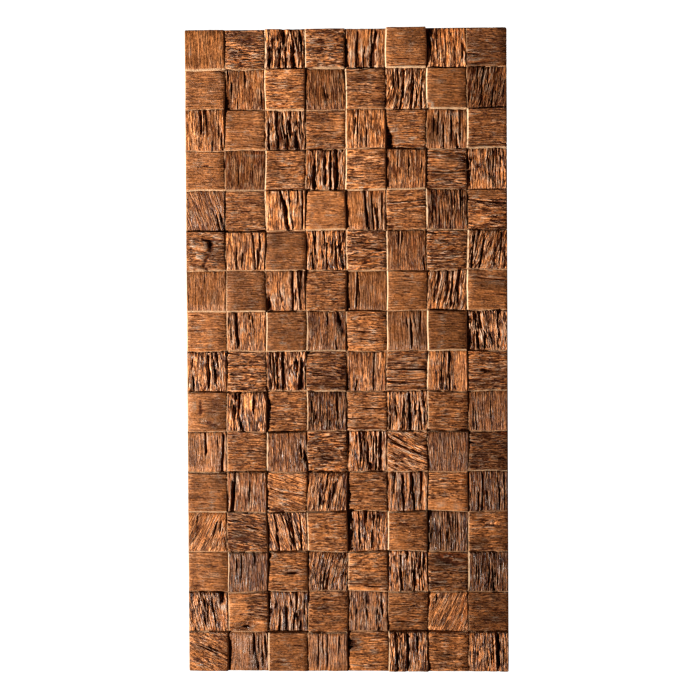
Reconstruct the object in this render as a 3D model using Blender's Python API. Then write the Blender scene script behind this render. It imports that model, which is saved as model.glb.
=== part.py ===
"""A moulded polyurethane wall panel: square blocks of hewn timber in a basket weave, on a plain slab.

The panel hangs upright: +Z is up, the front faces -Y, and the origin is the middle of the flat back.
Rows are counted down from the top and columns from the left, both from 1.
"""

from collections import namedtuple
from math import cos, pi, sin

import bmesh
import bpy
from mathutils import Vector, noise

MM = 0.001

# The slab and its blocks
BLOCK = 75 * MM
SEAM = 3 * MM
SLAB = 14 * MM
CORNER_RADIUS = 4 * MM
CORNER_STEPS = 3

# What one unit in the maps below stands for
HEIGHT_STEP = 1.1 * MM
TILT_STEP = 1.0 * MM
LEVEL = 5

# Height of each block's middle over the slab
HEIGHTS = (
    "65674945",
    "53746576",
    "64447447",
    "55658652",
    "44774344",
    "76644437",
    "56552545",
    "34664584",
    "44443565",
    "56254453",
    "55654555",
    "77664454",
    "67583634",
    "58646436",
    "67443445",
    "75775878",
)

# Tilt across each block: over LEVEL, its right edge stands further out than its left one
TILTS_ACROSS = (
    "54445564",
    "65735442",
    "64355544",
    "43547567",
    "56775436",
    "65543344",
    "55666453",
    "54434436",
    "55555564",
    "64625443",
    "44545574",
    "56767676",
    "65775654",
    "53646443",
    "56557565",
    "76566557",
)

# Tilt up each block: over LEVEL, its top edge stands further out than its bottom one
TILTS_UP = (
    "64556831",
    "18765579",
    "73322848",
    "34446648",
    "66734654",
    "65366544",
    "54824647",
    "45458346",
    "63626875",
    "65524584",
    "65586462",
    "47846434",
    "45765543",
    "67655424",
    "77421765",
    "56563355",
)

# How deeply the grain is worn, from 1 for planed to 5 for split
ROUGHNESS = (
    "23532232",
    "23333524",
    "31523332",
    "22253343",
    "33312222",
    "24243233",
    "22322222",
    "23243225",
    "33533323",
    "14342522",
    "23234423",
    "13433223",
    "33333223",
    "32233323",
    "33434232",
    "33223423",
)
RELIEF = {1: 0.3 * MM, 2: 0.7 * MM, 3: 1.8 * MM, 4: 3.0 * MM, 5: 4.2 * MM}
STRIPS = {1: 5, 2: 6, 3: 10, 4: 14, 5: 15}
FURROWED_STRIPS = 14
RUNS = 2
RUNS_FOR_LEAN = 8
FURROW_PITCH = 7 * MM
FURROW_LENGTH = 48 * MM
SWAY = 3.5 * MM
SWAY_PITCH = 36 * MM

# Grain that runs aslant: the shift across the block for each unit along it
LEANS = {
    (2, 6): 0.15,
    (2, 8): 0.2,
    (5, 1): -0.35,
    (6, 8): 0.25,
    (7, 7): 0.2,
    (8, 8): -0.15,
    (11, 6): -0.45,
    (12, 3): -0.3,
    (12, 4): 0.15,
    (13, 1): 0.5,
    (13, 2): -0.2,
    (13, 3): -0.25,
    (14, 4): 0.2,
    (15, 1): -0.15,
    (15, 7): 0.45,
    (16, 1): -0.45,
}

# Broad cracks: place across the grain and stretch along it as fractions of the block, from its
# bottom left corner; width and depth in millimetres
Furrow = namedtuple("Furrow", "row column across lean width depth start end")
FURROWS = (
    Furrow(1, 2, 0.42, -0.3, 9, 2.0, 0.0, 1.0),
    Furrow(1, 2, 0.15, -0.2, 9, 2.0, 0.35, 1.0),
    Furrow(1, 5, 0.31, -0.03, 9, 3.5, 0.05, 0.9),
    Furrow(1, 5, 0.52, 0.03, 8, 2.5, 0.0, 1.0),
    Furrow(1, 5, 0.74, 0.05, 9, 3.5, 0.0, 0.85),
    Furrow(3, 1, 0.43, 0.0, 7, 3.0, 0.5, 0.95),
    Furrow(3, 3, 0.2, 0.0, 11, 3.0, 0.15, 0.75),
    Furrow(3, 3, 0.62, -0.1, 12, 3.5, 0.25, 0.85),
    Furrow(4, 4, 0.33, 0.05, 11, 4.0, 0.0, 0.6),
    Furrow(4, 8, 0.75, 0.0, 9, 2.5, 0.0, 1.0),
    Furrow(5, 3, 0.58, -0.15, 9, 3.5, 0.0, 1.0),
    Furrow(5, 5, 0.52, -0.1, 10, 2.5, 0.3, 1.0),
    Furrow(5, 5, 0.75, -0.15, 9, 3.0, 0.0, 1.0),
    Furrow(6, 8, 0.2, 0.15, 11, 2.5, 0.0, 1.0),
    Furrow(7, 3, 0.68, 0.05, 9, 3.0, 0.0, 0.7),
    Furrow(7, 3, 0.28, 0.0, 9, 2.5, 0.0, 0.45),
    Furrow(7, 7, 0.17, 0.15, 8, 3.0, 0.0, 0.95),
    Furrow(7, 7, 0.38, 0.15, 8, 3.0, 0.0, 1.0),
    Furrow(7, 7, 0.58, 0.12, 8, 3.0, 0.0, 1.0),
    Furrow(7, 7, 0.78, 0.12, 8, 3.0, 0.0, 0.95),
    Furrow(8, 2, 0.24, 0.0, 9, 3.5, 0.3, 1.0),
    Furrow(8, 6, 0.62, -0.05, 9, 3.5, 0.2, 0.8),
    Furrow(9, 1, 0.58, 0.0, 8, 2.5, 0.0, 1.0),
    Furrow(9, 1, 0.8, 0.0, 8, 2.5, 0.0, 1.0),
    Furrow(9, 3, 0.85, 0.03, 12, 3.5, 0.0, 0.9),
    Furrow(10, 2, 0.2, -0.3, 9, 3.0, 0.0, 0.9),
    Furrow(10, 6, 0.55, 0.0, 9, 3.0, 0.0, 1.0),
    Furrow(11, 1, 0.9, 0.0, 9, 3.0, 0.0, 1.0),
    Furrow(11, 5, 0.6, 0.05, 9, 3.0, 0.0, 0.6),
    Furrow(12, 2, 0.15, 0.1, 11, 3.0, 0.0, 0.7),
    Furrow(12, 6, 0.35, -0.08, 10, 2.5, 0.0, 1.0),
    Furrow(12, 6, 0.72, -0.1, 11, 3.0, 0.0, 0.8),
    Furrow(13, 3, 0.22, -0.18, 9, 2.5, 0.0, 1.0),
    Furrow(13, 3, 0.62, -0.12, 10, 3.0, 0.0, 1.0),
    Furrow(13, 3, 0.82, -0.1, 9, 3.0, 0.1, 1.0),
    Furrow(14, 5, 0.04, 0.0, 24, 4.5, -0.2, 1.2),
    Furrow(14, 7, 0.82, 0.05, 11, 3.0, 0.1, 0.9),
    Furrow(15, 3, 0.2, 0.05, 9, 3.0, 0.0, 0.65),
    Furrow(15, 3, 0.42, 0.0, 9, 3.0, 0.0, 0.7),
    Furrow(15, 3, 0.75, 0.0, 11, 3.5, 0.0, 0.75),
    Furrow(16, 2, 0.05, 0.15, 16, 3.0, 0.1, 0.7),
    Furrow(16, 4, 0.42, 0.08, 10, 2.0, 0.0, 1.0),
    Furrow(16, 8, 0.7, 0.0, 9, 2.5, 0.2, 1.0),
)

# Rounded lumps, and with a height below 0 knot holes and lost chips; radius and height in millimetres
Lump = namedtuple("Lump", "row column right up radius height")
LUMPS = (
    Lump(1, 8, 0.1, 0.3, 10, -2.0),
    Lump(6, 1, 0.25, 0.45, 28, 3.0),
    Lump(8, 2, 0.58, 0.87, 10, -2.0),
    Lump(10, 1, 0.5, 0.55, 26, -1.2),
    Lump(10, 8, 0.04, 0.25, 20, -3.0),
    Lump(11, 3, 0.85, 0.45, 11, -3.0),
    Lump(13, 6, 0.6, 0.5, 12, -1.2),
    Lump(15, 1, 0.92, 0.95, 18, -4.0),
    Lump(15, 2, 0.55, 0.18, 12, -3.0),
    Lump(15, 2, 0.95, 0.02, 14, -3.0),
)

ROWS = len(HEIGHTS)
COLUMNS = len(HEIGHTS[0])
WIDTH = COLUMNS * BLOCK
TALL = ROWS * BLOCK


def unit(table, row, column):
    """The digit that a map gives for a block."""
    return int(table[row - 1][column - 1])


def runs_upright(row, column):
    """Whether the block's grain stands upright, as it does on every other block."""
    return (row + column) % 2 == 0


def bell(distance, half_width):
    """1 at the middle of a feature, falling smoothly to 0 at its edge."""
    reach = min(abs(distance) / half_width, 1)
    return (1 - reach * reach) ** 2


def grain_height(row, column, across, along):
    """Height of the worn grain over the block's plane, at fractions across and along the grain."""
    seed = 10 * row + column
    lean = LEANS.get((row, column), 0) * (along - 0.5)
    far = along * BLOCK
    place = (across - lean) * BLOCK
    place += SWAY * noise.noise(Vector((place / SWAY_PITCH, far / SWAY_PITCH, seed)))
    worn = noise.noise(Vector((place / FURROW_PITCH, far / FURROW_LENGTH, seed)))
    return RELIEF[unit(ROUGHNESS, row, column)] * worn


def furrow_depth(furrow, across, along):
    """Depth of a crack at a place on its block; it runs out softly at its two ends."""
    middle = furrow.across + furrow.lean * (along - 0.5)
    inside = bell((across - middle) * BLOCK, furrow.width * MM / 2)
    half_length = (furrow.end - furrow.start) / 2
    off_centre = max(abs(along - furrow.start - half_length) - half_length, 0)
    return furrow.depth * MM * inside * bell(off_centre, 0.15)


def block_height(row, column, right, up):
    """Height over the slab at a place on a block, given as fractions from its bottom left corner."""
    height = HEIGHT_STEP * unit(HEIGHTS, row, column)
    height += TILT_STEP * (unit(TILTS_ACROSS, row, column) - LEVEL) * (right - 0.5)
    height += TILT_STEP * (unit(TILTS_UP, row, column) - LEVEL) * (up - 0.5)
    across, along = (right, up) if runs_upright(row, column) else (up, right)
    height += grain_height(row, column, across, along)
    for furrow in FURROWS:
        if (furrow.row, furrow.column) == (row, column):
            height -= furrow_depth(furrow, across, along)
    for lump in LUMPS:
        if (lump.row, lump.column) == (row, column):
            apart = Vector((right - lump.right, up - lump.up)).length * BLOCK
            height += lump.height * MM * bell(apart, lump.radius * MM)
    return height


def strip_counts(row, column):
    """Faces across and up a block: narrow strips across its grain, long runs along it."""
    furrowed = any((furrow.row, furrow.column) == (row, column) for furrow in FURROWS)
    strips = FURROWED_STRIPS if furrowed else STRIPS[unit(ROUGHNESS, row, column)]
    runs = RUNS + int(RUNS_FOR_LEAN * abs(LEANS.get((row, column), 0)))
    return (strips, runs) if runs_upright(row, column) else (runs, strips)


def add_block(mesh, row, column):
    """The front of one block. Gives back its four edges, as chains that run right or up."""
    wide, high = strip_counts(row, column)
    made = bmesh.ops.create_grid(mesh, x_segments=wide, y_segments=high, size=0.5)["verts"]
    quads = {face for point in made for face in point.link_faces}
    split = "ALTERNATE" if LEANS.get((row, column), 0) < 0 else "FIXED"
    bmesh.ops.triangulate(mesh, faces=list(quads), quad_method=split)
    near_edge = 0.5 - 0.25 / max(wide, high)
    edges = {
        "left": sorted((p for p in made if p.co.x < -near_edge), key=lambda p: p.co.y),
        "right": sorted((p for p in made if p.co.x > near_edge), key=lambda p: p.co.y),
        "bottom": sorted((p for p in made if p.co.y < -near_edge), key=lambda p: p.co.x),
        "top": sorted((p for p in made if p.co.y > near_edge), key=lambda p: p.co.x),
    }
    middle_x = (column - 0.5) * BLOCK - WIDTH / 2
    middle_z = TALL / 2 - (row - 0.5) * BLOCK
    face = BLOCK - SEAM
    for point in made:
        right, up = point.co.x, point.co.y
        height = block_height(row, column, right + 0.5, up + 0.5)
        point.co = (middle_x + face * right, -SLAB - height, middle_z + face * up)
    return edges


def loft(mesh, first, second):
    """Triangles between two chains of vertices, which may be of unlike lengths."""
    i = j = 0
    while i + 1 < len(first) or j + 1 < len(second):
        first_next = (i + 1) / max(len(first) - 1, 1) if i + 1 < len(first) else 2
        second_next = (j + 1) / max(len(second) - 1, 1) if j + 1 < len(second) else 2
        if first_next <= second_next:
            mesh.faces.new((first[i], first[i + 1], second[j]))
            i += 1
        else:
            mesh.faces.new((first[i], second[j + 1], second[j]))
            j += 1


def add_outline(mesh, depth, at_seams):
    """The rounded rectangle at one depth: chains for its sides, cut at the seams or plain, and corners."""
    half_x, half_z = WIDTH / 2, TALL / 2
    end_x, end_z = half_x - CORNER_RADIUS, half_z - CORNER_RADIUS
    seams_x = [k * BLOCK - half_x for k in range(1, COLUMNS)] if at_seams else []
    seams_z = [k * BLOCK - half_z for k in range(1, ROWS)] if at_seams else []
    places = {
        "bottom": [(x, -half_z) for x in (-end_x, *seams_x, end_x)],
        "top": [(x, half_z) for x in (-end_x, *seams_x, end_x)],
        "left": [(-half_x, z) for z in (-end_z, *seams_z, end_z)],
        "right": [(half_x, z) for z in (-end_z, *seams_z, end_z)],
    }
    ring = {side: [mesh.verts.new((x, -depth, z)) for x, z in chain] for side, chain in places.items()}
    for side_x in ("left", "right"):
        for side_z in ("bottom", "top"):
            sign_x = 1 if side_x == "right" else -1
            sign_z = 1 if side_z == "top" else -1
            turn = [pi / 2 * k / CORNER_STEPS for k in range(1, CORNER_STEPS)]
            arc = [
                mesh.verts.new((
                    sign_x * (end_x + CORNER_RADIUS * cos(angle)),
                    -depth,
                    sign_z * (end_z + CORNER_RADIUS * sin(angle)),
                ))
                for angle in turn
            ]
            last = -1 if sign_z == 1 else 0
            top_last = -1 if sign_x == 1 else 0
            ring[side_x + side_z] = [ring[side_x][last], *arc, ring[side_z][top_last]]
    return ring


def round_corner_block(edges, side_x, side_z):
    """Draws in the panel's corner on the front of a corner block, to stand over the rounded outline."""
    corner = edges[side_z][-1 if side_x == "right" else 0]
    inward = CORNER_RADIUS * (1 - cos(pi / 4))
    corner.co.x -= inward if side_x == "right" else -inward
    corner.co.z -= inward if side_z == "top" else -inward


def panel_mesh():
    """One closed casting: the fronts of the blocks, the walls between them, the slab's sides and its back."""
    mesh = bmesh.new()
    blocks = {
        (row, column): add_block(mesh, row, column)
        for row in range(1, ROWS + 1)
        for column in range(1, COLUMNS + 1)
    }
    for row, column in blocks:
        if column < COLUMNS:
            loft(mesh, blocks[row, column]["right"], blocks[row, column + 1]["left"])
        if row < ROWS:
            loft(mesh, blocks[row, column]["bottom"], blocks[row + 1, column]["top"])
    for side_x, column in (("left", 1), ("right", COLUMNS)):
        for side_z, row in (("top", 1), ("bottom", ROWS)):
            round_corner_block(blocks[row, column], side_x, side_z)

    rim = add_outline(mesh, SLAB, at_seams=True)
    for column in range(1, COLUMNS + 1):
        loft(mesh, blocks[1, column]["top"], rim["top"][column - 1 : column + 1])
        loft(mesh, blocks[ROWS, column]["bottom"], rim["bottom"][column - 1 : column + 1])
    for row in range(1, ROWS + 1):
        from_bottom = ROWS - row
        loft(mesh, blocks[row, 1]["left"], rim["left"][from_bottom : from_bottom + 2])
        loft(mesh, blocks[row, COLUMNS]["right"], rim["right"][from_bottom : from_bottom + 2])
    open_edges = [edge for edge in mesh.edges if edge.is_boundary]
    bmesh.ops.holes_fill(mesh, edges=open_edges, sides=CORNER_STEPS + 2)

    back = add_outline(mesh, 0, at_seams=False)
    for place in rim:
        loft(mesh, rim[place], back[place])
    open_edges = [edge for edge in mesh.edges if edge.is_boundary]
    bmesh.ops.holes_fill(mesh, edges=open_edges, sides=0)
    bmesh.ops.recalc_face_normals(mesh, faces=mesh.faces)
    return mesh


def painted_polyurethane():
    """Rigid foam with a brown timber finish."""
    material = bpy.data.materials.new("painted_polyurethane")
    material.use_nodes = True
    shader = material.node_tree.nodes["Principled BSDF"]
    shader.inputs["Base Color"].default_value = (0.27, 0.115, 0.045, 1)
    shader.inputs["Roughness"].default_value = 0.6
    shader.inputs["Metallic"].default_value = 0
    return material


def clear_scene():
    for thing in list(bpy.data.objects):
        bpy.data.objects.remove(thing, do_unlink=True)


def build():
    clear_scene()
    collection = bpy.data.collections.new("timber_block_wall_panel")
    bpy.context.scene.collection.children.link(collection)
    data = bpy.data.meshes.new("wall_panel")
    mesh = panel_mesh()
    mesh.to_mesh(data)
    mesh.free()
    data.materials.append(painted_polyurethane())
    collection.objects.link(bpy.data.objects.new("wall_panel", data))


build()
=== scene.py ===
"""The looks of a moulded polyurethane wall panel: hewn timber blocks in a basket weave.

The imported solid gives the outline, the blocks' heights and tilts and their broad cracks. The casting here
keeps that form and adds the grain, the fine cracks, the knots and the worn arrises. The cracks, holes
and ridges that stand out in the photograph are listed for each block, and seeded noise gives the rest.
Rows are counted down from the top and columns from the left, both from 1.
"""

from collections import namedtuple
from math import cos, hypot, pi, radians, sin

import bmesh
import bpy
import numpy as np
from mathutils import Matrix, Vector
from mathutils.bvhtree import BVHTree


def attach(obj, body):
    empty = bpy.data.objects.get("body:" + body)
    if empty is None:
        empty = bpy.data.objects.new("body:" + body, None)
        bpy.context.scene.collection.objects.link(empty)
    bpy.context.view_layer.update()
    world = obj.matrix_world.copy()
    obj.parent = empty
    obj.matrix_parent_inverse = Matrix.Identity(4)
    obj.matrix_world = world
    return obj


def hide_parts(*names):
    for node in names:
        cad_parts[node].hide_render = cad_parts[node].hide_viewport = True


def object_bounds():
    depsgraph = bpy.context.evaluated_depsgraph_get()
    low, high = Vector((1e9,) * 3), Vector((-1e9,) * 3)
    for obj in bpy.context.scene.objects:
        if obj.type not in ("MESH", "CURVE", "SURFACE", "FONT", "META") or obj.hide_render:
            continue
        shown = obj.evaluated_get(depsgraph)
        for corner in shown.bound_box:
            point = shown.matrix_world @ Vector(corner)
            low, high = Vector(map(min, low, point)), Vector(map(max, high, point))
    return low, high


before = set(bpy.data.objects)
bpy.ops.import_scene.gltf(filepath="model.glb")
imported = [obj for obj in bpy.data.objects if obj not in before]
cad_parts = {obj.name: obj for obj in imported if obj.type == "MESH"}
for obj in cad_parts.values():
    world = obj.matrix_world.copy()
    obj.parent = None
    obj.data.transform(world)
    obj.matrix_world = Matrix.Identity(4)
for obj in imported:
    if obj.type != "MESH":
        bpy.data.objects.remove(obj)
cad_low, cad_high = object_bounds()

MM = 0.001

# The panel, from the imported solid; plan sizes below are in millimetres
COLUMNS = 8
ROWS = 16
WIDTH = (cad_high.x - cad_low.x) / MM
TALL = (cad_high.z - cad_low.z) / MM
BLOCK = WIDTH / COLUMNS
SEAM = 3.0
FACE = BLOCK - SEAM
SLAB = 14.0
CORNER_RADIUS = 4.0
CORNER_STEPS = 6
BACK_ROUND = 1.0

# How the blocks meet. A wall takes the pale wall colour, partly wear and partly a painted highlight, as its
# block stands LIT_STEPS above the next one, and the walls above and below a block take only LEVEL_LIT of it
ARRIS = 0.8
GROOVE = 0.35
GROOVE_SHIFTS = {"upright": 0.2, "level": 0.8}
WANDER = 2.2
WANDER_PITCH = 85.0
WANDER_FADE = 25.0
SEAM_RUNS = 14
LIT_STEPS = (0.3, 2.0)
LEVEL_LIT = 0.6

# The blocks' fronts: pitches, heights, depths and reaches, and the shares that smooth and dark patches
# take away; CROWDING is how much closer the mesh's lines come at the listed marks
CROWDING = 1.6
UNDULATION = 0.85
UNDULATION_PITCH = 19.0
SWAY_PITCHES = (26.0, 34.0)
RIM_SHARE = 0.3
LEAST_HEIGHT = 0.3
CHIP_DEPTH = 1.6
CHIP_REACH = 3.5
RING_PITCH = 2.8
RING_HEIGHT = 0.3
MARK_DEPTH = 0.9
MARK_REACH = 0.42
MARK_WAVER = 0.2
MARK_SWELL = 0.3
SMOOTH_SHARE = 0.75
DARK_AND_SHADOW_SHARE = 0.45

# Thin cracks, as two fields: pitch, length as a share of the grain's length, and depth as a share
CRACK_FIELDS = ((7, 1.3, 1.0), (4.2, 0.7, 0.7))
CRACK_WIDTH = 0.85

# How often heights are blurred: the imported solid's, and those that the crests and hollows stand out from
SOLID_BLUR = 16
NARROW_BLUR = 5
WIDE_BLUR = 30

# How far the material's noise is apart from one block to the next: across, along and in depth
NOISE_STEPS = (1.7, 3.1, 0.37)

# The map for baking: margin round the front in millimetres, and the shares of the map's width
MAP_MARGIN = 30.0
RIM_SPREAD = 10.0
HEEL_SPREAD = 24.0
MAP_FRONT = 0.77
MAP_BACK = (0.8, 0.19)

# Kinds of weathered grain. pitch and length of the ridges, their height, height of the fine lines,
# depth of thin cracks and of short pits and sway of the grain in millimetres; crest is 1 for sharp
# ridges, -1 for sharp valleys and 0 for neither; lined is the strength of the finest lines and tone the
# brightness of the stain; strips and runs are the mesh's faces across and along the block
Grain = namedtuple("Grain", "pitch length depth crest fine crack pit sway lined tone strips runs")
GRAINS = {
    "v": Grain(4.4, 90, 0.5, -0.5, 0.26, 0.4, 0.35, 1.0, 0.6, 0.70, 52, 7),
    "f": Grain(3.6, 80, 0.8, -0.6, 0.55, 0.7, 0.70, 1.2, 1.0, 1.00, 60, 7),
    "m": Grain(3.1, 50, 1.0, -0.5, 1.05, 1.1, 1.0, 2.0, 1.45, 1.20, 72, 8),
    "w": Grain(4.6, 30, 1.9, -0.4, 0.90, 1.8, 1.0, 3.5, 1.4, 1.20, 66, 11),
    "s": Grain(3.2, 110, 1.1, 0.4, 1.05, 1.8, 0.6, 1.0, 1.5, 1.20, 72, 7),
    "d": Grain(3.8, 60, 2.1, 0.8, 1.00, 1.8, 0.6, 2.0, 1.5, 1.15, 72, 10),
    "r": Grain(4.6, 40, 2.6, 0.9, 1.05, 2.0, 0.6, 3.0, 1.2, 1.15, 70, 12),
    "b": Grain(5.0, 90, 1.3, -0.5, 0.80, 1.4, 0.6, 2.0, 1.2, 1.10, 70, 9),
    "t": Grain(4.4, 20, 2.0, 0.6, 1.00, 1.8, 0.8, 3.0, 1.4, 1.25, 66, 12),
    "k": Grain(4.5, 40, 1.1, -0.3, 0.60, 1.0, 0.8, 4.0, 1.1, 1.00, 58, 11),
}
# What becomes of those values where the grain stands upright, across the light, and where it lies level
UPRIGHT_SHARES = {"crack": 0.75, "pit": 0.6, "lined": 1.35}
LEVEL_SHARES = {"depth": 0.38, "pit": 1.25, "sway": 0.6, "lined": 0.9, "strips": 0.75}

# The blocks' kinds of grain
GRAIN_MAP = (
    "vmrmbvmf",
    "vffffrvd",
    "fvrfffff",
    "vffrffsr",
    "fffvffsm",
    "kfvwmfmw",
    "vvffvvbv",
    "vfvffvvr",
    "mmrmfsmm",
    "vmfmfrff",
    "vffwrrfm",
    "vffmfbfm",
    "fmbfmfsf",
    "vffmfrks",
    "mkbfffff",
    "fvvvfrfm",
)

# How lightly each block is stained: the number of its tone
STAIN_TONES = (0.55, 0.7, 0.85, 1.0, 1.15, 1.35)
STAIN_MAP = (
    "32543350",
    "32502520",
    "44325321",
    "40335223",
    "11553403",
    "25255123",
    "21322343",
    "44114213",
    "44523323",
    "35304421",
    "43145500",
    "32543340",
    "52545304",
    "40425420",
    "34332351",
    "43345555",
)

# Grain that runs aslant: the shift across the block for each unit along it, as in the solid
LEANS = {
    (2, 6): 0.15,
    (2, 8): 0.2,
    (5, 1): -0.35,
    (6, 8): 0.25,
    (7, 7): 0.2,
    (8, 8): -0.15,
    (11, 6): -0.45,
    (12, 3): -0.3,
    (12, 4): 0.15,
    (13, 1): 0.5,
    (13, 2): -0.2,
    (13, 3): -0.25,
    (14, 4): 0.2,
    (15, 1): -0.15,
    (15, 7): 0.45,
    (16, 1): -0.45,
}

# Knots, with the grain bent round them: place as fractions from the block's bottom left corner,
# radius and depth in millimetres
Knot = namedtuple("Knot", "row column right up radius depth")
Mark = namedtuple("Mark", "start end width depth")
KNOTS = (
    Knot(1, 8, 0.12, 0.3, 5, 1.4),
    Knot(8, 2, 0.58, 0.87, 6, 1.5),
    Knot(10, 1, 0.62, 0.3, 9, 0.5),
    Knot(11, 3, 0.85, 0.45, 5, 1.5),
    Knot(13, 6, 0.6, 0.5, 4, 1.0),
    Knot(13, 8, 0.7, 0.7, 7, 0.8),
    Knot(15, 2, 0.55, 0.2, 6, 2.0),
    Knot(15, 6, 0.72, 0.7, 3, 1.2),
)

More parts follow.
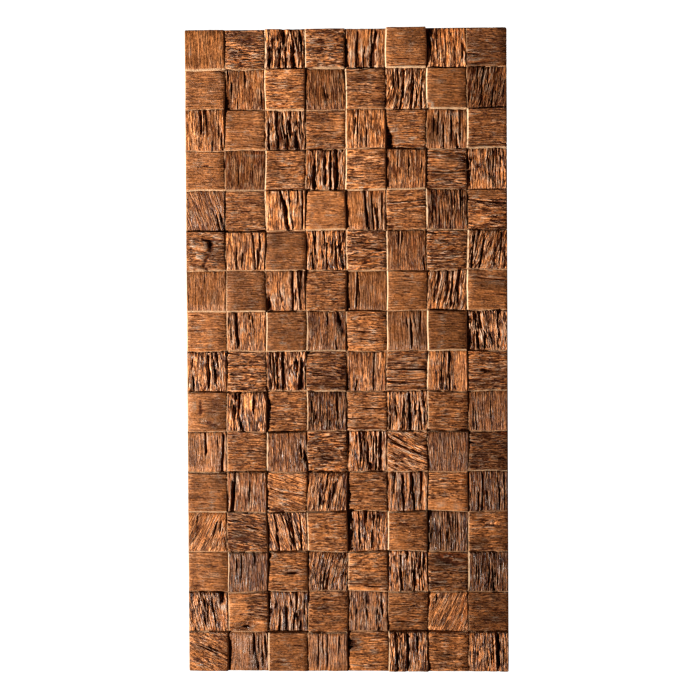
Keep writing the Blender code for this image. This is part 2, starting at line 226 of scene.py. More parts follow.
# Cracks, holes and ridges that stand out: the places that they pass, in hundredths of the block right
# and down from its top left corner, then width and depth in millimetres; a depth below 0 is a ridge
MARKS = {
    (1, 1): ((65, 28, 66, 45, 2.5, 1.2), (53, 70, 54, 82, 2.5, 1.2), (91, 72, 91, 98, 3, 1.5)),
    (1, 2): (
        (3, 43, 32, 52, 3, 2), (32, 52, 60, 64, 3.5, 2.5), (44, 72, 66, 74, 6, 3.5),
        (60, 68, 95, 82, 3.5, 2.5),
    ),
    (1, 3): (
        (13, 50, 14, 95, 7, 4), (49, 0, 47, 36, 10, 5), (39, 45, 38, 98, 7, 4.5), (53, 50, 54, 98, 7, 4.5),
        (71, 40, 73, 99, 12, 6), (88, 0, 90, 35, 7, 4), (62, 0, 66, 36, 4, -2.5),
        (73, 28, 80, 60, 4, -2.5),
    ),
    (1, 4): ((10, 25, 45, 25, 3, 1.8), (47, 27, 50, 30, 3, 2), (22, 51, 65, 58, 3.5, 2.2)),
    (1, 5): (
        (32, 12, 32, 45, 7, 4), (32, 40, 33, 99, 12, 6), (77, 10, 74, 45, 8, 4.5), (74, 45, 67, 99, 12, 6),
        (51, 45, 46, 99, 5, 3.5), (2, 30, 2, 60, 8, 3.5), (3, 65, 9, 98, 14, 5),
    ),
    (1, 6): ((30, 25, 52, 25, 3, 1.8), (20, 77, 55, 78, 3, 2), (15, 96, 98, 93, 3, 2)),
    (1, 7): ((22, 30, 25, 70, 4, -2), (43, 2, 45, 48, 4, -2), (90, 42, 91, 72, 5, 3)),
    (1, 8): ((4, 66, 25, 70, 5.5, 4), (35, 39, 75, 39, 3.5, 2), (0, 90, 45, 90, 8, 3)),
    (2, 1): ((5, 92, 20, 91, 3, 1.5), (82, 70, 92, 72, 3, 1.5), (75, 3, 98, 5, 4, 2)),
    (2, 2): (
        (6, 2, 7, 24, 5, 3.5), (15, 36, 16, 52, 5, 3.5), (50, 16, 51, 34, 5, 3.5),
        (31, 72, 32, 96, 4.5, 3), (92, 70, 93, 95, 4.5, 3),
    ),
    (2, 3): ((63, 45, 73, 46, 4.5, 3), (17, 63, 30, 62, 3.5, 2), (5, 92, 30, 92, 3.5, 2)),
    (2, 4): ((44, 47, 49, 64, 5, 3.5), (46, 46, 51, 64, 3, -2), (96, 2, 98, 30, 5, 3)),
    (2, 5): ((0, 6, 22, 8, 4, 3), (22, 8, 50, 4, 3, 2.5), (2, 51, 28, 51, 3.5, 2.5)),
    (2, 6): (
        (31, 5, 32, 45, 6, 4), (46, 10, 43, 50, 37, 98, 9, 5), (68, 5, 69, 45, 7, 4),
        (68, 45, 62, 98, 8, 5), (77, 55, 76, 95, 5, 4), (90, 45, 88, 98, 6, 4), (20, 10, 19, 45, 4, 3),
    ),
    (2, 7): ((18, 75, 18, 80, 3, 3), (18, 86, 18, 95, 3.5, 3), (0, 80, 2, 99, 9, 4)),
    (2, 8): ((42, 0, 38, 30, 4, 3), (55, 5, 50, 40, 4, 3), (65, 50, 63, 95, 5, 3), (28, 0, 25, 40, 4, 3)),
    (3, 1): (
        (41, 16, 42, 55, 6, 4.5), (47, 0, 46, 60, 4, -2.5), (56, 2, 57, 60, 9, 2.5),
        (85, 54, 85, 64, 5, 4.5), (72, 70, 70, 98, 4, 3), (92, 60, 95, 98, 5, 3),
    ),
    (3, 2): ((42, 22, 56, 25, 3, 1.2), (5, 90, 30, 91, 3, 1.2)),
    (3, 3): (
        (33, 5, 31, 45, 12, 6), (31, 45, 34, 98, 10, 5), (10, 35, 10, 98, 6, 4), (60, 28, 64, 60, 12, 6),
        (56, 60, 55, 98, 7, 5), (78, 70, 82, 98, 13, 6), (88, 2, 90, 30, 6, 4), (44, 10, 46, 50, 5, 3),
    ),
    (3, 4): ((38, 54, 75, 54, 3, 2), (20, 17, 50, 12, 6, 1), (5, 97, 90, 96, 4, 2.5)),
    (3, 5): ((27, 20, 22, 65, 5, 3.5), (33, 5, 31, 65, 5, 3.5), (54, 60, 53, 82, 5, 3.5)),
    (3, 6): ((2, 66, 8, 95, 36, 4), (30, 57, 98, 60, 3, 2), (5, 90, 98, 92, 7, 2.5)),
    (3, 7): (
        (30, 10, 29, 60, 5, 3.5), (44, 40, 43, 98, 5, 3), (62, 30, 63, 75, 7, 4), (74, 68, 77, 98, 6, 5),
        (15, 30, 17, 65, 4, -2.5), (78, 66, 81, 95, 4, -2.5), (83, 5, 84, 60, 4, 3), (55, 2, 98, 2, 4, 3),
    ),
    (3, 8): ((0, 92, 90, 93, 3.5, 2.2), (2, 82, 20, 88, 3, 1.8), (82, 87, 95, 89, 4.5, 2.5)),
    (4, 1): ((54, 37, 59, 43, 4, 3.5), (2, 45, 8, 46, 4, 2.5), (0, 66, 12, 66, 4, 1.5)),
    (4, 2): ((3, 30, 3, 48, 5, 3), (55, 5, 95, 4, 6, 2.5), (36, 30, 35, 95, 3, 2)),
    (4, 3): ((45, 42, 96, 39, 3, 2.2), (90, 63, 95, 64, 3, 2), (5, 99, 95, 96, 4, 2.5)),
    (4, 4): (
        (23, 30, 22, 60, 23, 92, 11, 6), (49, 25, 50, 85, 7, 5), (62, 35, 64, 98, 7, 5),
        (78, 5, 78, 98, 12, 5), (58, 5, 57, 50, 60, 98, 5, -3), (69, 45, 71, 98, 5, -3),
    ),
    (4, 5): ((8, 68, 40, 69, 4, 3), (8, 36, 8, 48, 3, 2.5), (46, 97, 55, 97, 7, 4)),
    (4, 6): ((56, 25, 57, 42, 5, 4), (30, 5, 28, 40, 4, 3), (88, 38, 88, 55, 4.5, 2.5)),
    (4, 7): (
        (15, 7, 60, 11, 4, 3), (60, 11, 98, 14, 4.5, 3), (18, 56, 60, 57, 4.5, 3),
        (60, 57, 98, 54, 5, 3.5), (55, 80, 80, 86, 5, 3.5), (80, 86, 98, 88, 4, 3),
        (95, 12, 98, 30, 6, 2.5),
    ),
    (4, 8): ((66, 10, 65, 55, 5, 3.5), (79, 20, 77, 95, 4, -2.2), (72, 30, 70, 95, 4, 3)),
    (5, 1): ((78, 60, 88, 98, 5, 3.5), (84, 60, 92, 95, 4, -2), (90, 60, 99, 98, 5, 3.5)),
    (5, 2): ((17, 46, 28, 46, 4.5, 2.5), (18, 31, 32, 32, 4, 2.2), (75, 96, 96, 96, 9, 4)),
    (5, 3): (
        (37, 0, 46, 30, 8, 5), (46, 30, 52, 60, 57, 99, 11, 6), (55, 5, 60, 50, 65, 99, 5, -2.5),
        (81, 2, 82, 36, 4.5, 3), (93, 5, 93, 95, 5, 3),
    ),
    (5, 4): ((62, 87, 65, 88, 3.5, 2.5), (82, 87, 85, 88, 3.5, 2.5), (0, 87, 5, 88, 4, 3)),
    (5, 5): (
        (50, 0, 52, 45, 8, 4), (53, 45, 58, 98, 9, 5), (66, 15, 70, 98, 5, 3.5), (71, 50, 76, 98, 5, -2.8),
        (79, 50, 81, 98, 4, 3), (90, 10, 91, 98, 5, 3),
    ),
    (5, 6): ((5, 36, 98, 30, 4, -3), (25, 52, 98, 43, 4, -3), (5, 88, 10, 93, 5, 3.5)),
    (5, 7): ((79, 0, 79, 50, 3.5, -2), (88, 5, 88, 80, 3.5, 2), (15, 10, 15, 80, 4, 2)),
    (5, 8): (
        (0, 26, 25, 29, 8, 3.5), (25, 29, 50, 31, 6, 2.5), (50, 31, 98, 33, 5, 2.5),
        (70, 94, 98, 95, 6, 3.5), (0, 15, 5, 27, 6, 3),
    ),
    (6, 1): (
        (46, 20, 92, 22, 7, 3.5), (62, 28, 64, 46, 14, 3.5), (58, 60, 50, 74, 8, 3),
        (44, 82, 50, 98, 6, 3), (22, 32, 42, 40, 34, -3), (18, 56, 40, 62, 26, -3),
        (16, 92, 32, 94, 20, -2.5),
    ),
    (6, 2): (
        (65, 5, 71, 50, 75, 95, 5, 4), (76, 50, 78, 92, 4, -2.5), (41, 58, 41, 70, 5, 4.5),
        (85, 10, 86, 50, 5, 3.5), (83, 50, 82, 95, 5, 3.5), (28, 40, 27, 60, 4, 3), (27, 85, 28, 98, 5, 3),
    ),
    (6, 3): ((32, 57, 62, 56, 4, 1.4), (45, 78, 58, 78, 3, 1.8), (2, 5, 95, 4, 4, 2)),
    (6, 4): (
        (24, 5, 23, 55, 5, 3.5), (45, 2, 48, 40, 5, 3.5), (50, 35, 48, 98, 4, -2.5),
        (67, 30, 66, 70, 4, 3), (86, 20, 87, 45, 6, 4.5), (76, 50, 78, 98, 4, 3), (15, 55, 20, 95, 5, 3),
        (92, 50, 93, 95, 5, 3),
    ),
    (6, 5): ((30, 32, 72, 33, 4, 2.8), (55, 45, 76, 46, 4, 2.8), (75, 48, 95, 50, 5.5, 3.5)),
    (6, 6): ((32, 0, 31, 30, 5, 3.5), (36, 0, 35, 30, 3.5, -2), (93, 75, 94, 95, 5, 3)),
    (6, 7): ((0, 5, 25, 9, 6, 3.5), (42, 27, 52, 28, 5, 2.5), (0, 83, 10, 83, 4, 3)),
    (6, 8): (
        (16, 10, 13, 50, 5, 3), (13, 50, 11, 95, 6, 4), (42, 15, 37, 50, 5, 3.5), (37, 50, 30, 98, 7, 4.5),
        (68, 48, 69, 56, 4, 3), (86, 10, 83, 45, 80, 75, 4, 3), (94, 40, 94, 90, 9, 3.5),
    ),
    (7, 1): ((45, 8, 46, 25, 3, 2), (77, 35, 78, 55, 3, 1.2), (5, 5, 40, 5, 3, 2)),
    (7, 2): ((88, 53, 96, 54, 4, 2.5), (60, 79, 72, 80, 3.5, 2.2), (55, 87, 62, 86, 4, 2.2)),
    (7, 3): (
        (69, 2, 68, 55, 7, 4.5), (69, 55, 66, 98, 7, 4.5), (77, 2, 81, 50, 5, -3),
        (81, 50, 83, 98, 5, -2.5), (76, 45, 74, 75, 4, 3.5), (90, 2, 91, 45, 5, 3.5),
        (8, 65, 10, 98, 14, 5), (36, 52, 40, 75, 5, 3.5),
    ),
    (7, 4): ((5, 57, 20, 55, 3.5, 2), (60, 75, 70, 75, 3.5, 2), (40, 6, 90, 5, 4, 2.5)),
    (7, 5): ((23, 5, 20, 95, 4, -2.8), (28, 20, 31, 60, 4, 2.5), (31, 60, 31, 95, 3, 2)),
    (7, 6): ((46, 13, 54, 14, 5, 2.5), (40, 24, 62, 24, 3, 2), (42, 53, 58, 54, 3.5, 2)),
    (7, 7): (
        (31, 0, 27, 35, 19, 65, 9, 5), (53, 0, 53, 40, 46, 75, 10, 5.5), (66, 0, 63, 45, 7, 4.5),
        (62, 45, 61, 85, 8, 5), (83, 2, 79, 45, 80, 80, 10, 5.5),
    ),
    (7, 8): ((20, 20, 50, 24, 98, 25, 5, 3), (80, 61, 98, 62, 6, 3.5), (40, 8, 90, 10, 22, 1.5)),
    (8, 1): ((3, 8, 40, 10, 3.5, 2), (2, 23, 25, 23, 3.5, 2), (5, 44, 45, 45, 3.5, 2.2)),
    (8, 2): (
        (25, 5, 25, 50, 9, 6.5), (25, 50, 28, 85, 9, 6), (5, 15, 6, 45, 5, 3.5), (10, 25, 11, 75, 5, 3.5),
        (61, 5, 66, 20, 5, 4), (66, 20, 60, 32, 4, 3.5), (57, 8, 57, 14, 4, 3),
    ),
    (8, 3): ((82, 24, 89, 25, 5, 4), (74, 18, 77, 25, 3, -1.8), (78, 43, 82, 46, 5, 3)),
    (8, 4): (
        (54, 12, 53, 30, 5, 3.5), (80, 2, 85, 30, 9, 4), (87, 25, 92, 52, 10, 4), (75, 80, 76, 96, 5, 3.5),
    ),
    (8, 5): ((28, 51, 55, 51, 4.5, 3), (30, 68, 65, 71, 4, 2.8), (0, 58, 2, 65, 5, 3)),
    (8, 6): ((60, 30, 63, 80, 7, 5), (50, 25, 52, 40, 4, 3), (68, 10, 72, 45, 4, 3), (85, 5, 83, 50, 5, 3)),
    (8, 7): ((29, 8, 39, 9, 5.5, 3.5), (12, 92, 14, 92, 4, 3), (63, 92, 65, 92, 4.5, 3)),
    (8, 8): (
        (19, 5, 21, 45, 5, 4), (29, 0, 33, 42, 9, 5), (27, 55, 28, 92, 8, 4.5), (19, 55, 18, 92, 4, 3.5),
        (43, 58, 45, 66, 7, 4.5), (43, 70, 43, 92, 9, 5), (78, 58, 77, 92, 7, 4.5),
        (69, 0, 70, 45, 4.5, -2.5),
    ),
    (9, 1): (
        (38, 5, 34, 45, 4.5, -2), (16, 22, 15, 42, 5, 3), (53, 10, 57, 55, 7, 4), (57, 55, 55, 90, 8, 4.5),
        (64, 5, 70, 50, 4, 3), (77, 15, 78, 35, 5, 4), (73, 45, 72, 80, 5, 3.5), (18, 75, 17, 98, 5, 3),
    ),
    (9, 2): (
        (3, 6, 25, 8, 5, 3.5), (10, 34, 48, 34, 4.5, 2.8), (8, 56, 20, 57, 5.5, 3),
        (15, 80, 35, 80, 5, 2.5),
    ),
    (9, 3): (
        (10, 10, 12, 40, 5, 3.5), (19, 5, 20, 60, 6, 4), (29, 5, 28, 90, 8, 4.5), (43, 2, 44, 95, 12, 4.5),
        (75, 18, 76, 35, 5, 3.5), (87, 2, 84, 50, 77, 95, 6, -3), (92, 35, 90, 95, 13, 6),
    ),
    (9, 4): ((5, 40, 25, 39, 5, 2.5), (15, 60, 70, 63, 4.5, 2.2), (5, 52, 28, 54, 9, 1.5)),
    (9, 5): (
        (68, 0, 68, 55, 5, 3.5), (68, 55, 68, 95, 6, 4), (26, 75, 23, 98, 6, 3.5), (2, 70, 4, 98, 7, 4),
    ),
    (9, 6): (
        (0, 43, 20, 45, 5, 3.5), (20, 45, 98, 46, 4.5, 3.5), (0, 73, 50, 77, 4.5, 3.2),
        (92, 70, 96, 75, 6, 3.5),
    ),
    (9, 7): (
        (35, 45, 37, 90, 5, 3), (51, 5, 49, 50, 4.5, -2.5), (55, 2, 55, 35, 4.5, 3),
        (55, 50, 56, 98, 4.5, 3),
    ),
    (9, 8): ((33, 46, 53, 46, 7.5, 4.5), (50, 50, 95, 52, 4.5, 2.5), (0, 52, 25, 54, 5, 2)),
    (10, 1): ((34, 20, 33, 55, 4, 2.2), (42, 45, 70, 52, 7, 1.5), (55, 75, 72, 85, 9, 2.5)),
    (10, 2): (
        (33, 5, 32, 45, 9, 5.5), (13, 28, 22, 45, 30, 58, 5, 4), (30, 45, 32, 70, 7, 5),
        (32, 70, 41, 98, 6, 5), (64, 8, 65, 50, 5, -2.8), (65, 50, 70, 98, 4.5, -2.5),
        (22, 5, 26, 18, 5, 4),
    ),
    (10, 3): ((8, 53, 20, 54, 4, 2), (55, 71, 68, 72, 4, 2.2), (88, 78, 98, 79, 4.5, 2.5)),
    (10, 4): (
        (55, 78, 54, 95, 4.5, -2.2), (51, 70, 52, 95, 4, 3), (10, 20, 12, 50, 6, 3),
        (75, 20, 77, 70, 5, 3),
    ),
    (10, 5): ((45, 44, 88, 45, 4.5, 2.5), (2, 70, 62, 70, 3.5, 2), (0, 92, 98, 94, 7, 3)),
    (10, 6): (
        (56, 8, 56, 55, 57, 98, 8, 5), (20, 42, 22, 62, 6, 4), (38, 32, 33, 62, 4.5, -2.2),
        (5, 62, 7, 98, 8, 4.5), (70, 35, 71, 60, 5, 3.5), (80, 30, 83, 75, 5, 3.5),
        (93, 30, 94, 90, 5, 3.5),
    ),
    (10, 7): ((35, 65, 72, 66, 4, 2.2), (0, 97, 40, 97, 4, 2), (82, 96, 98, 95, 6, 3)),
    (10, 8): ((57, 30, 58, 62, 4, 3), (19, 60, 20, 95, 4, 3), (12, 30, 14, 90, 5, 2.5)),
    (11, 1): ((47, 5, 48, 50, 6, 4), (93, 8, 90, 50, 88, 98, 7, 4), (77, 20, 78, 35, 4, 3)),
    (11, 2): ((55, 47, 70, 49, 5, 3), (2, 7, 20, 7, 4.5, 3), (42, 81, 58, 80, 4.5, 2.2)),
    (11, 3): ((84, 40, 86, 58, 6, 4), (80, 52, 88, 74, 4.5, -2), (95, 52, 96, 72, 9, 5)),
    (11, 4): ((46, 60, 60, 61, 5, 2.5), (40, 69, 60, 69, 4, 2.2), (8, 9, 20, 10, 5, 2)),
    (11, 5): (
        (28, 2, 30, 60, 4.5, -2.5), (37, 5, 42, 50, 5, -2.5), (52, 40, 51, 75, 8, 5),
        (66, 25, 67, 80, 5, 4), (73, 15, 73, 95, 6, 4), (84, 10, 84, 95, 11, 5), (60, 80, 62, 98, 10, 4),
        (3, 5, 4, 50, 9, 4),
    ),
    (11, 6): (
        (0, 5, 20, 18, 4.5, -2.5), (20, 18, 50, 32, 4, -2.2), (2, 17, 30, 33, 8, 3.5),
        (30, 33, 70, 50, 7, 3), (0, 63, 25, 74, 7, 4), (66, 7, 72, 10, 4.5, 3),
    ),
    (11, 7): ((78, 15, 79, 35, 3.5, 2), (60, 30, 61, 50, 3, 1.5), (88, 30, 86, 50, 3, 1.8)),
    (11, 8): ((2, 28, 10, 28, 7, 4), (80, 68, 90, 69, 5, 2.5), (2, 88, 30, 91, 5, 2.8)),
    (12, 1): ((22, 62, 32, 62, 4.5, 2), (35, 78, 43, 79, 4, 1.8), (5, 3, 98, 3, 4, 2)),
    (12, 2): (
        (20, 2, 20, 25, 5, 4), (19, 25, 13, 60, 7, 4.5), (15, 60, 13, 98, 11, 5),
        (10, 25, 7, 60, 4.5, -2.5), (56, 30, 54, 70, 5, 3.5),
    ),
    (12, 3): ((10, 40, 40, 52, 92, 60, 5, 3), (5, 58, 15, 60, 5, 2.5), (5, 90, 40, 99, 8, 3.5)),
    (12, 4): (
        (48, 2, 43, 32, 4.5, -2), (68, 30, 66, 52, 5, 3.5), (56, 50, 54, 90, 4.5, 3),
        (32, 55, 31, 85, 5, 3.5),
    ),
    (12, 5): ((68, 17, 78, 18, 5.5, 2.5), (80, 48, 90, 52, 4, 2.8), (0, 78, 20, 77, 4.5, 2.5)),
    (12, 6): (
        (18, 5, 17, 50, 4.5, 3), (38, 10, 37, 55, 8, 4.5), (40, 55, 41, 98, 7, 4.5),
        (52, 2, 54, 50, 5.5, -2.8), (61, 15, 63, 55, 7, 4), (63, 55, 68, 98, 7, 4.5),
        (84, 5, 86, 98, 14, 4), (8, 5, 7, 95, 9, -1.2),
    ),
    (12, 7): ((33, 22, 46, 24, 6, 3.5), (70, 22, 96, 30, 3.5, 2), (2, 60, 10, 62, 5, 2.8)),
    (12, 8): (
        (38, 10, 37, 50, 5, 3.5), (37, 50, 34, 98, 6, 3.5), (27, 50, 24, 98, 5, 3),
        (79, 45, 77, 95, 5, 3.5), (90, 5, 91, 45, 4, 3),
    ),
    (13, 1): (
        (26, 10, 23, 22, 5, 3.5), (28, 33, 10, 58, 8, 2.5), (73, 30, 70, 44, 6, 4),
        (84, 24, 83, 40, 5.5, 4), (75, 78, 73, 95, 4.5, 3), (94, 70, 97, 98, 5, 3.5),
    ),
    (13, 2): ((2, 20, 40, 24, 4.5, 3), (48, 36, 62, 40, 82, 42, 4.5, 3)),
    (13, 3): (
        (16, 5, 20, 50, 6, -2.5), (24, 65, 28, 98, 5.5, 4), (47, 20, 53, 60, 56, 98, 4.5, -2.2),
        (60, 5, 63, 45, 68, 85, 6, 3.5), (68, 85, 72, 98, 5, 3), (83, 10, 85, 95, 6, 2.5),
    ),
    (13, 4): ((51, 16, 62, 17, 4.5, 2.2), (68, 35, 82, 36, 4, 2.2), (8, 49, 18, 49, 4.5, 2.2)),
    (13, 5): (
        (30, 5, 30, 45, 5, 3.5), (30, 45, 31, 80, 5, 3), (42, 3, 41, 50, 4.5, -2),
        (61, 5, 60, 45, 5, -2.2), (59, 45, 56, 90, 4.5, -2), (57, 8, 58, 22, 5, 3.5),
        (80, 10, 78, 95, 12, 2),
    ),
    (13, 6): ((27, 28, 38, 29, 4.5, 3), (33, 43, 38, 50, 4, 2.5), (68, 76, 76, 76, 4.5, 2.5)),
    (13, 7): ((50, 45, 50, 60, 4, 2.5), (57, 38, 58, 50, 4.5, 2.8), (73, 20, 74, 36, 4.5, 2.8)),
    (13, 8): (
        (36, 23, 46, 24, 5, 2.8), (43, 34, 57, 35, 5, 3), (5, 77, 20, 78, 5.5, 3), (10, 97, 45, 96, 5, 3),
    ),
    (14, 1): ((55, 33, 67, 37, 5, 3), (15, 85, 35, 88, 4.5, 2.5), (0, 52, 10, 52, 6, 2)),
    (14, 2): ((22, 15, 22, 40, 4.5, 3), (34, 10, 35, 60, 4.5, 2.8), (66, 2, 67, 30, 5.5, 3)),
    (14, 3): ((56, 52, 75, 53, 7, 4.5), (0, 20, 25, 24, 4, -1.8), (0, 3, 5, 14, 8, 4)),
    (14, 4): (
        (56, 40, 51, 70, 5.5, 3.5), (51, 70, 47, 98, 6.5, 4), (42, 55, 38, 98, 4.5, 3),
        (33, 65, 31, 98, 4, 3), (88, 68, 86, 98, 4, 3),
    ),
    (14, 5): (
        (0, 36, 28, 37, 4.5, 3), (53, 70, 58, 69, 6, 3.5), (0, 70, 14, 71, 5, 2.5),
        (0, 80, 42, 81, 4.5, 3), (45, 87, 80, 88, 97, 93, 5, 3.5),
    ),
    (14, 6): (
        (50, 3, 51, 12, 8, 5), (28, 50, 29, 98, 4.5, -2.2), (34, 15, 34, 60, 5, 3.5),
        (63, 20, 62, 50, 4, 3), (66, 50, 67, 98, 9, 4), (84, 5, 82, 40, 5.5, 4), (80, 40, 78, 75, 4, 3),
        (92, 5, 93, 30, 5, 3.5),
    ),
    (14, 7): (
        (24, 15, 46, 23, 11, 6), (46, 23, 66, 30, 15, 7), (68, 26, 88, 32, 8, 4.5),
        (44, 10, 70, 18, 6, -2.5), (70, 18, 92, 23, 5, -2.5), (3, 79, 20, 80, 5.5, 3),
        (10, 52, 60, 47, 98, 50, 4, -2),
    ),
    (14, 8): (
        (51, 42, 52, 60, 6, 4), (52, 60, 50, 85, 7, 4.5), (54, 42, 55, 65, 4, -2.2),
        (60, 75, 66, 98, 5, 3.5),
    ),
    (15, 1): (
        (85, 4, 86, 22, 16, 5), (44, 12, 43, 40, 4, 3), (42, 60, 43, 80, 7, 4.5), (58, 18, 64, 45, 5, 3.5),
        (64, 45, 68, 75, 5.5, 3.5), (50, 30, 50, 80, 4, 3), (15, 90, 20, 98, 8, 3.5),
    ),
    (15, 2): ((30, 56, 42, 56, 4.5, 2.5), (75, 58, 98, 63, 4.5, 2.8), (44, 86, 52, 87, 7, 4.5)),
    (15, 3): (
        (29, 40, 27, 98, 7, 4.5), (45, 45, 46, 98, 9, 5), (65, 62, 62, 98, 5, 4), (80, 55, 82, 98, 12, 5),
        (55, 20, 58, 36, 5.5, 3.5), (70, 60, 74, 67, 7, 4.5), (72, 2, 71, 45, 6, 3),
        (90, 30, 92, 55, 5, 3.5),
    ),
    (15, 4): ((42, 22, 56, 23, 6.5, 3), (15, 42, 23, 43, 5, 2.5), (41, 42, 53, 42, 5, 2.5)),
    (15, 5): (
        (46, 5, 49, 32, 9, 4.5), (12, 20, 22, 58, 5, 3.5), (47, 48, 49, 60, 5, 3.5),
        (72, 48, 79, 62, 6, 4), (84, 30, 87, 52, 5, 3.5), (73, 15, 76, 28, 4.5, 3), (73, 75, 78, 98, 7, 4),
        (5, 45, 8, 60, 4.5, 3),
    ),
    (15, 6): ((59, 34, 70, 35, 6.5, 3.5), (72, 33, 80, 37, 3.5, -1.8), (28, 75, 62, 76, 3.5, 2)),
    (15, 7): ((20, 12, 20, 22, 6, 4), (32, 7, 33, 11, 4.5, 3), (2, 22, 3, 32, 7, 3.5)),
    (15, 8): ((75, 52, 95, 53, 4, 2), (72, 70, 92, 71, 4.5, 2), (8, 37, 16, 38, 4, 2)),
    (16, 1): (
        (34, 17, 50, 20, 5.5, 2.8), (34, 38, 50, 44, 68, 53, 4.5, 2.8), (40, 34, 75, 50, 5, -2.2),
        (62, 8, 76, 9, 5.5, 3), (25, 71, 40, 77, 6, 2.2),
    ),
    (16, 2): (
        (66, 8, 65, 50, 9, 4), (68, 50, 74, 90, 6, 3.5), (78, 15, 76, 50, 5, 2.5),
        (85, 50, 88, 85, 5, 3.5), (74, 60, 77, 95, 4, 3), (93, 10, 95, 60, 5, 3),
    ),
    (16, 3): ((23, 74, 40, 75, 4.5, 2.5), (70, 32, 86, 33, 4, 2), (2, 56, 12, 58, 4, 2)),
    (16, 4): (
        (28, 8, 27, 45, 4, 2.5), (27, 45, 22, 98, 6, 3), (38, 25, 38, 55, 4, 2.2), (50, 5, 49, 50, 4, 2.5),
        (48, 50, 48, 98, 6, 3), (77, 8, 74, 55, 4.5, -2),
    ),
    (16, 5): ((0, 40, 12, 39, 8, 4), (0, 20, 12, 25, 11, 4), (72, 10, 86, 12, 5.5, 2.5)),
    (16, 6): (
        (12, 8, 14, 50, 16, 88, 6, -2.5), (21, 60, 24, 95, 6, 4), (39, 15, 41, 50, 7, -2.5),
        (42, 50, 41, 98, 9, -2.5), (46, 10, 48, 55, 7, 4), (49, 55, 48, 98, 6, 4),
        (72, 15, 73, 48, 7, 4.5),
    ),
    (16, 7): ((44, 56, 65, 54, 5, 2.8), (15, 81, 45, 80, 4, 2.2), (30, 87, 46, 88, 5.5, 2.8)),
    (16, 8): (
        (61, 12, 64, 45, 67, 98, 5, -2.5), (58, 10, 59, 55, 5, 3), (71, 8, 74, 98, 11, 4),
        (40, 30, 40, 45, 4.5, 3), (86, 20, 87, 80, 5, 2.5),
    ),
}

# Places that stayed smooth, rust-coloured stains and darker patches, the last partly a darker stain and
# partly
# painted shadow cast by higher neighbours: middle, then half width and half height, in hundredths of the
# block
SMOOTH = {
    (1, 5): ((20, 50, 10, 50), (46, 40, 8, 45)),
    (3, 4): ((80, 40, 20, 30),),
    (4, 7): ((48, 36, 38, 13),),
    (4, 8): ((34, 87, 17, 17),),
    (5, 5): ((25, 60, 22, 60),),
    (5, 8): ((25, 75, 25, 14), (50, 12, 50, 14)),
    (6, 1): ((42, 35, 18, 20), (25, 90, 25, 14)),
    (7, 3): ((20, 50, 10, 20), (55, 40, 8, 50)),
    (8, 6): ((22, 68, 34, 40), (80, 82, 18, 16)),
    (9, 1): ((25, 45, 16, 30),),
    (9, 6): ((78, 60, 26, 12),),
    (9, 7): ((85, 50, 20, 60), (8, 50, 12, 60)),
    (10, 1): ((15, 50, 18, 60), (70, 60, 30, 20)),
    (10, 2): ((52, 22, 12, 30),),
    (12, 6): ((8, 50, 10, 60), (86, 50, 14, 60)),
    (12, 7): ((45, 86, 50, 18),),
    (13, 6): ((30, 70, 30, 30),),
    (14, 5): ((50, 95, 60, 9),),
    (15, 1): ((86, 50, 15, 50),),
    (15, 2): ((22, 40, 28, 50), (70, 85, 30, 18)),
    (15, 5): ((60, 32, 12, 22), (60, 72, 14, 26)),
    (16, 2): ((30, 25, 30, 30), (56, 50, 8, 60)),
}
RUST = {
    (4, 2): ((85, 20, 13, 20),),
    (11, 8): ((91, 6, 9, 6),),
    (14, 7): ((58, 10, 40, 7),),
}
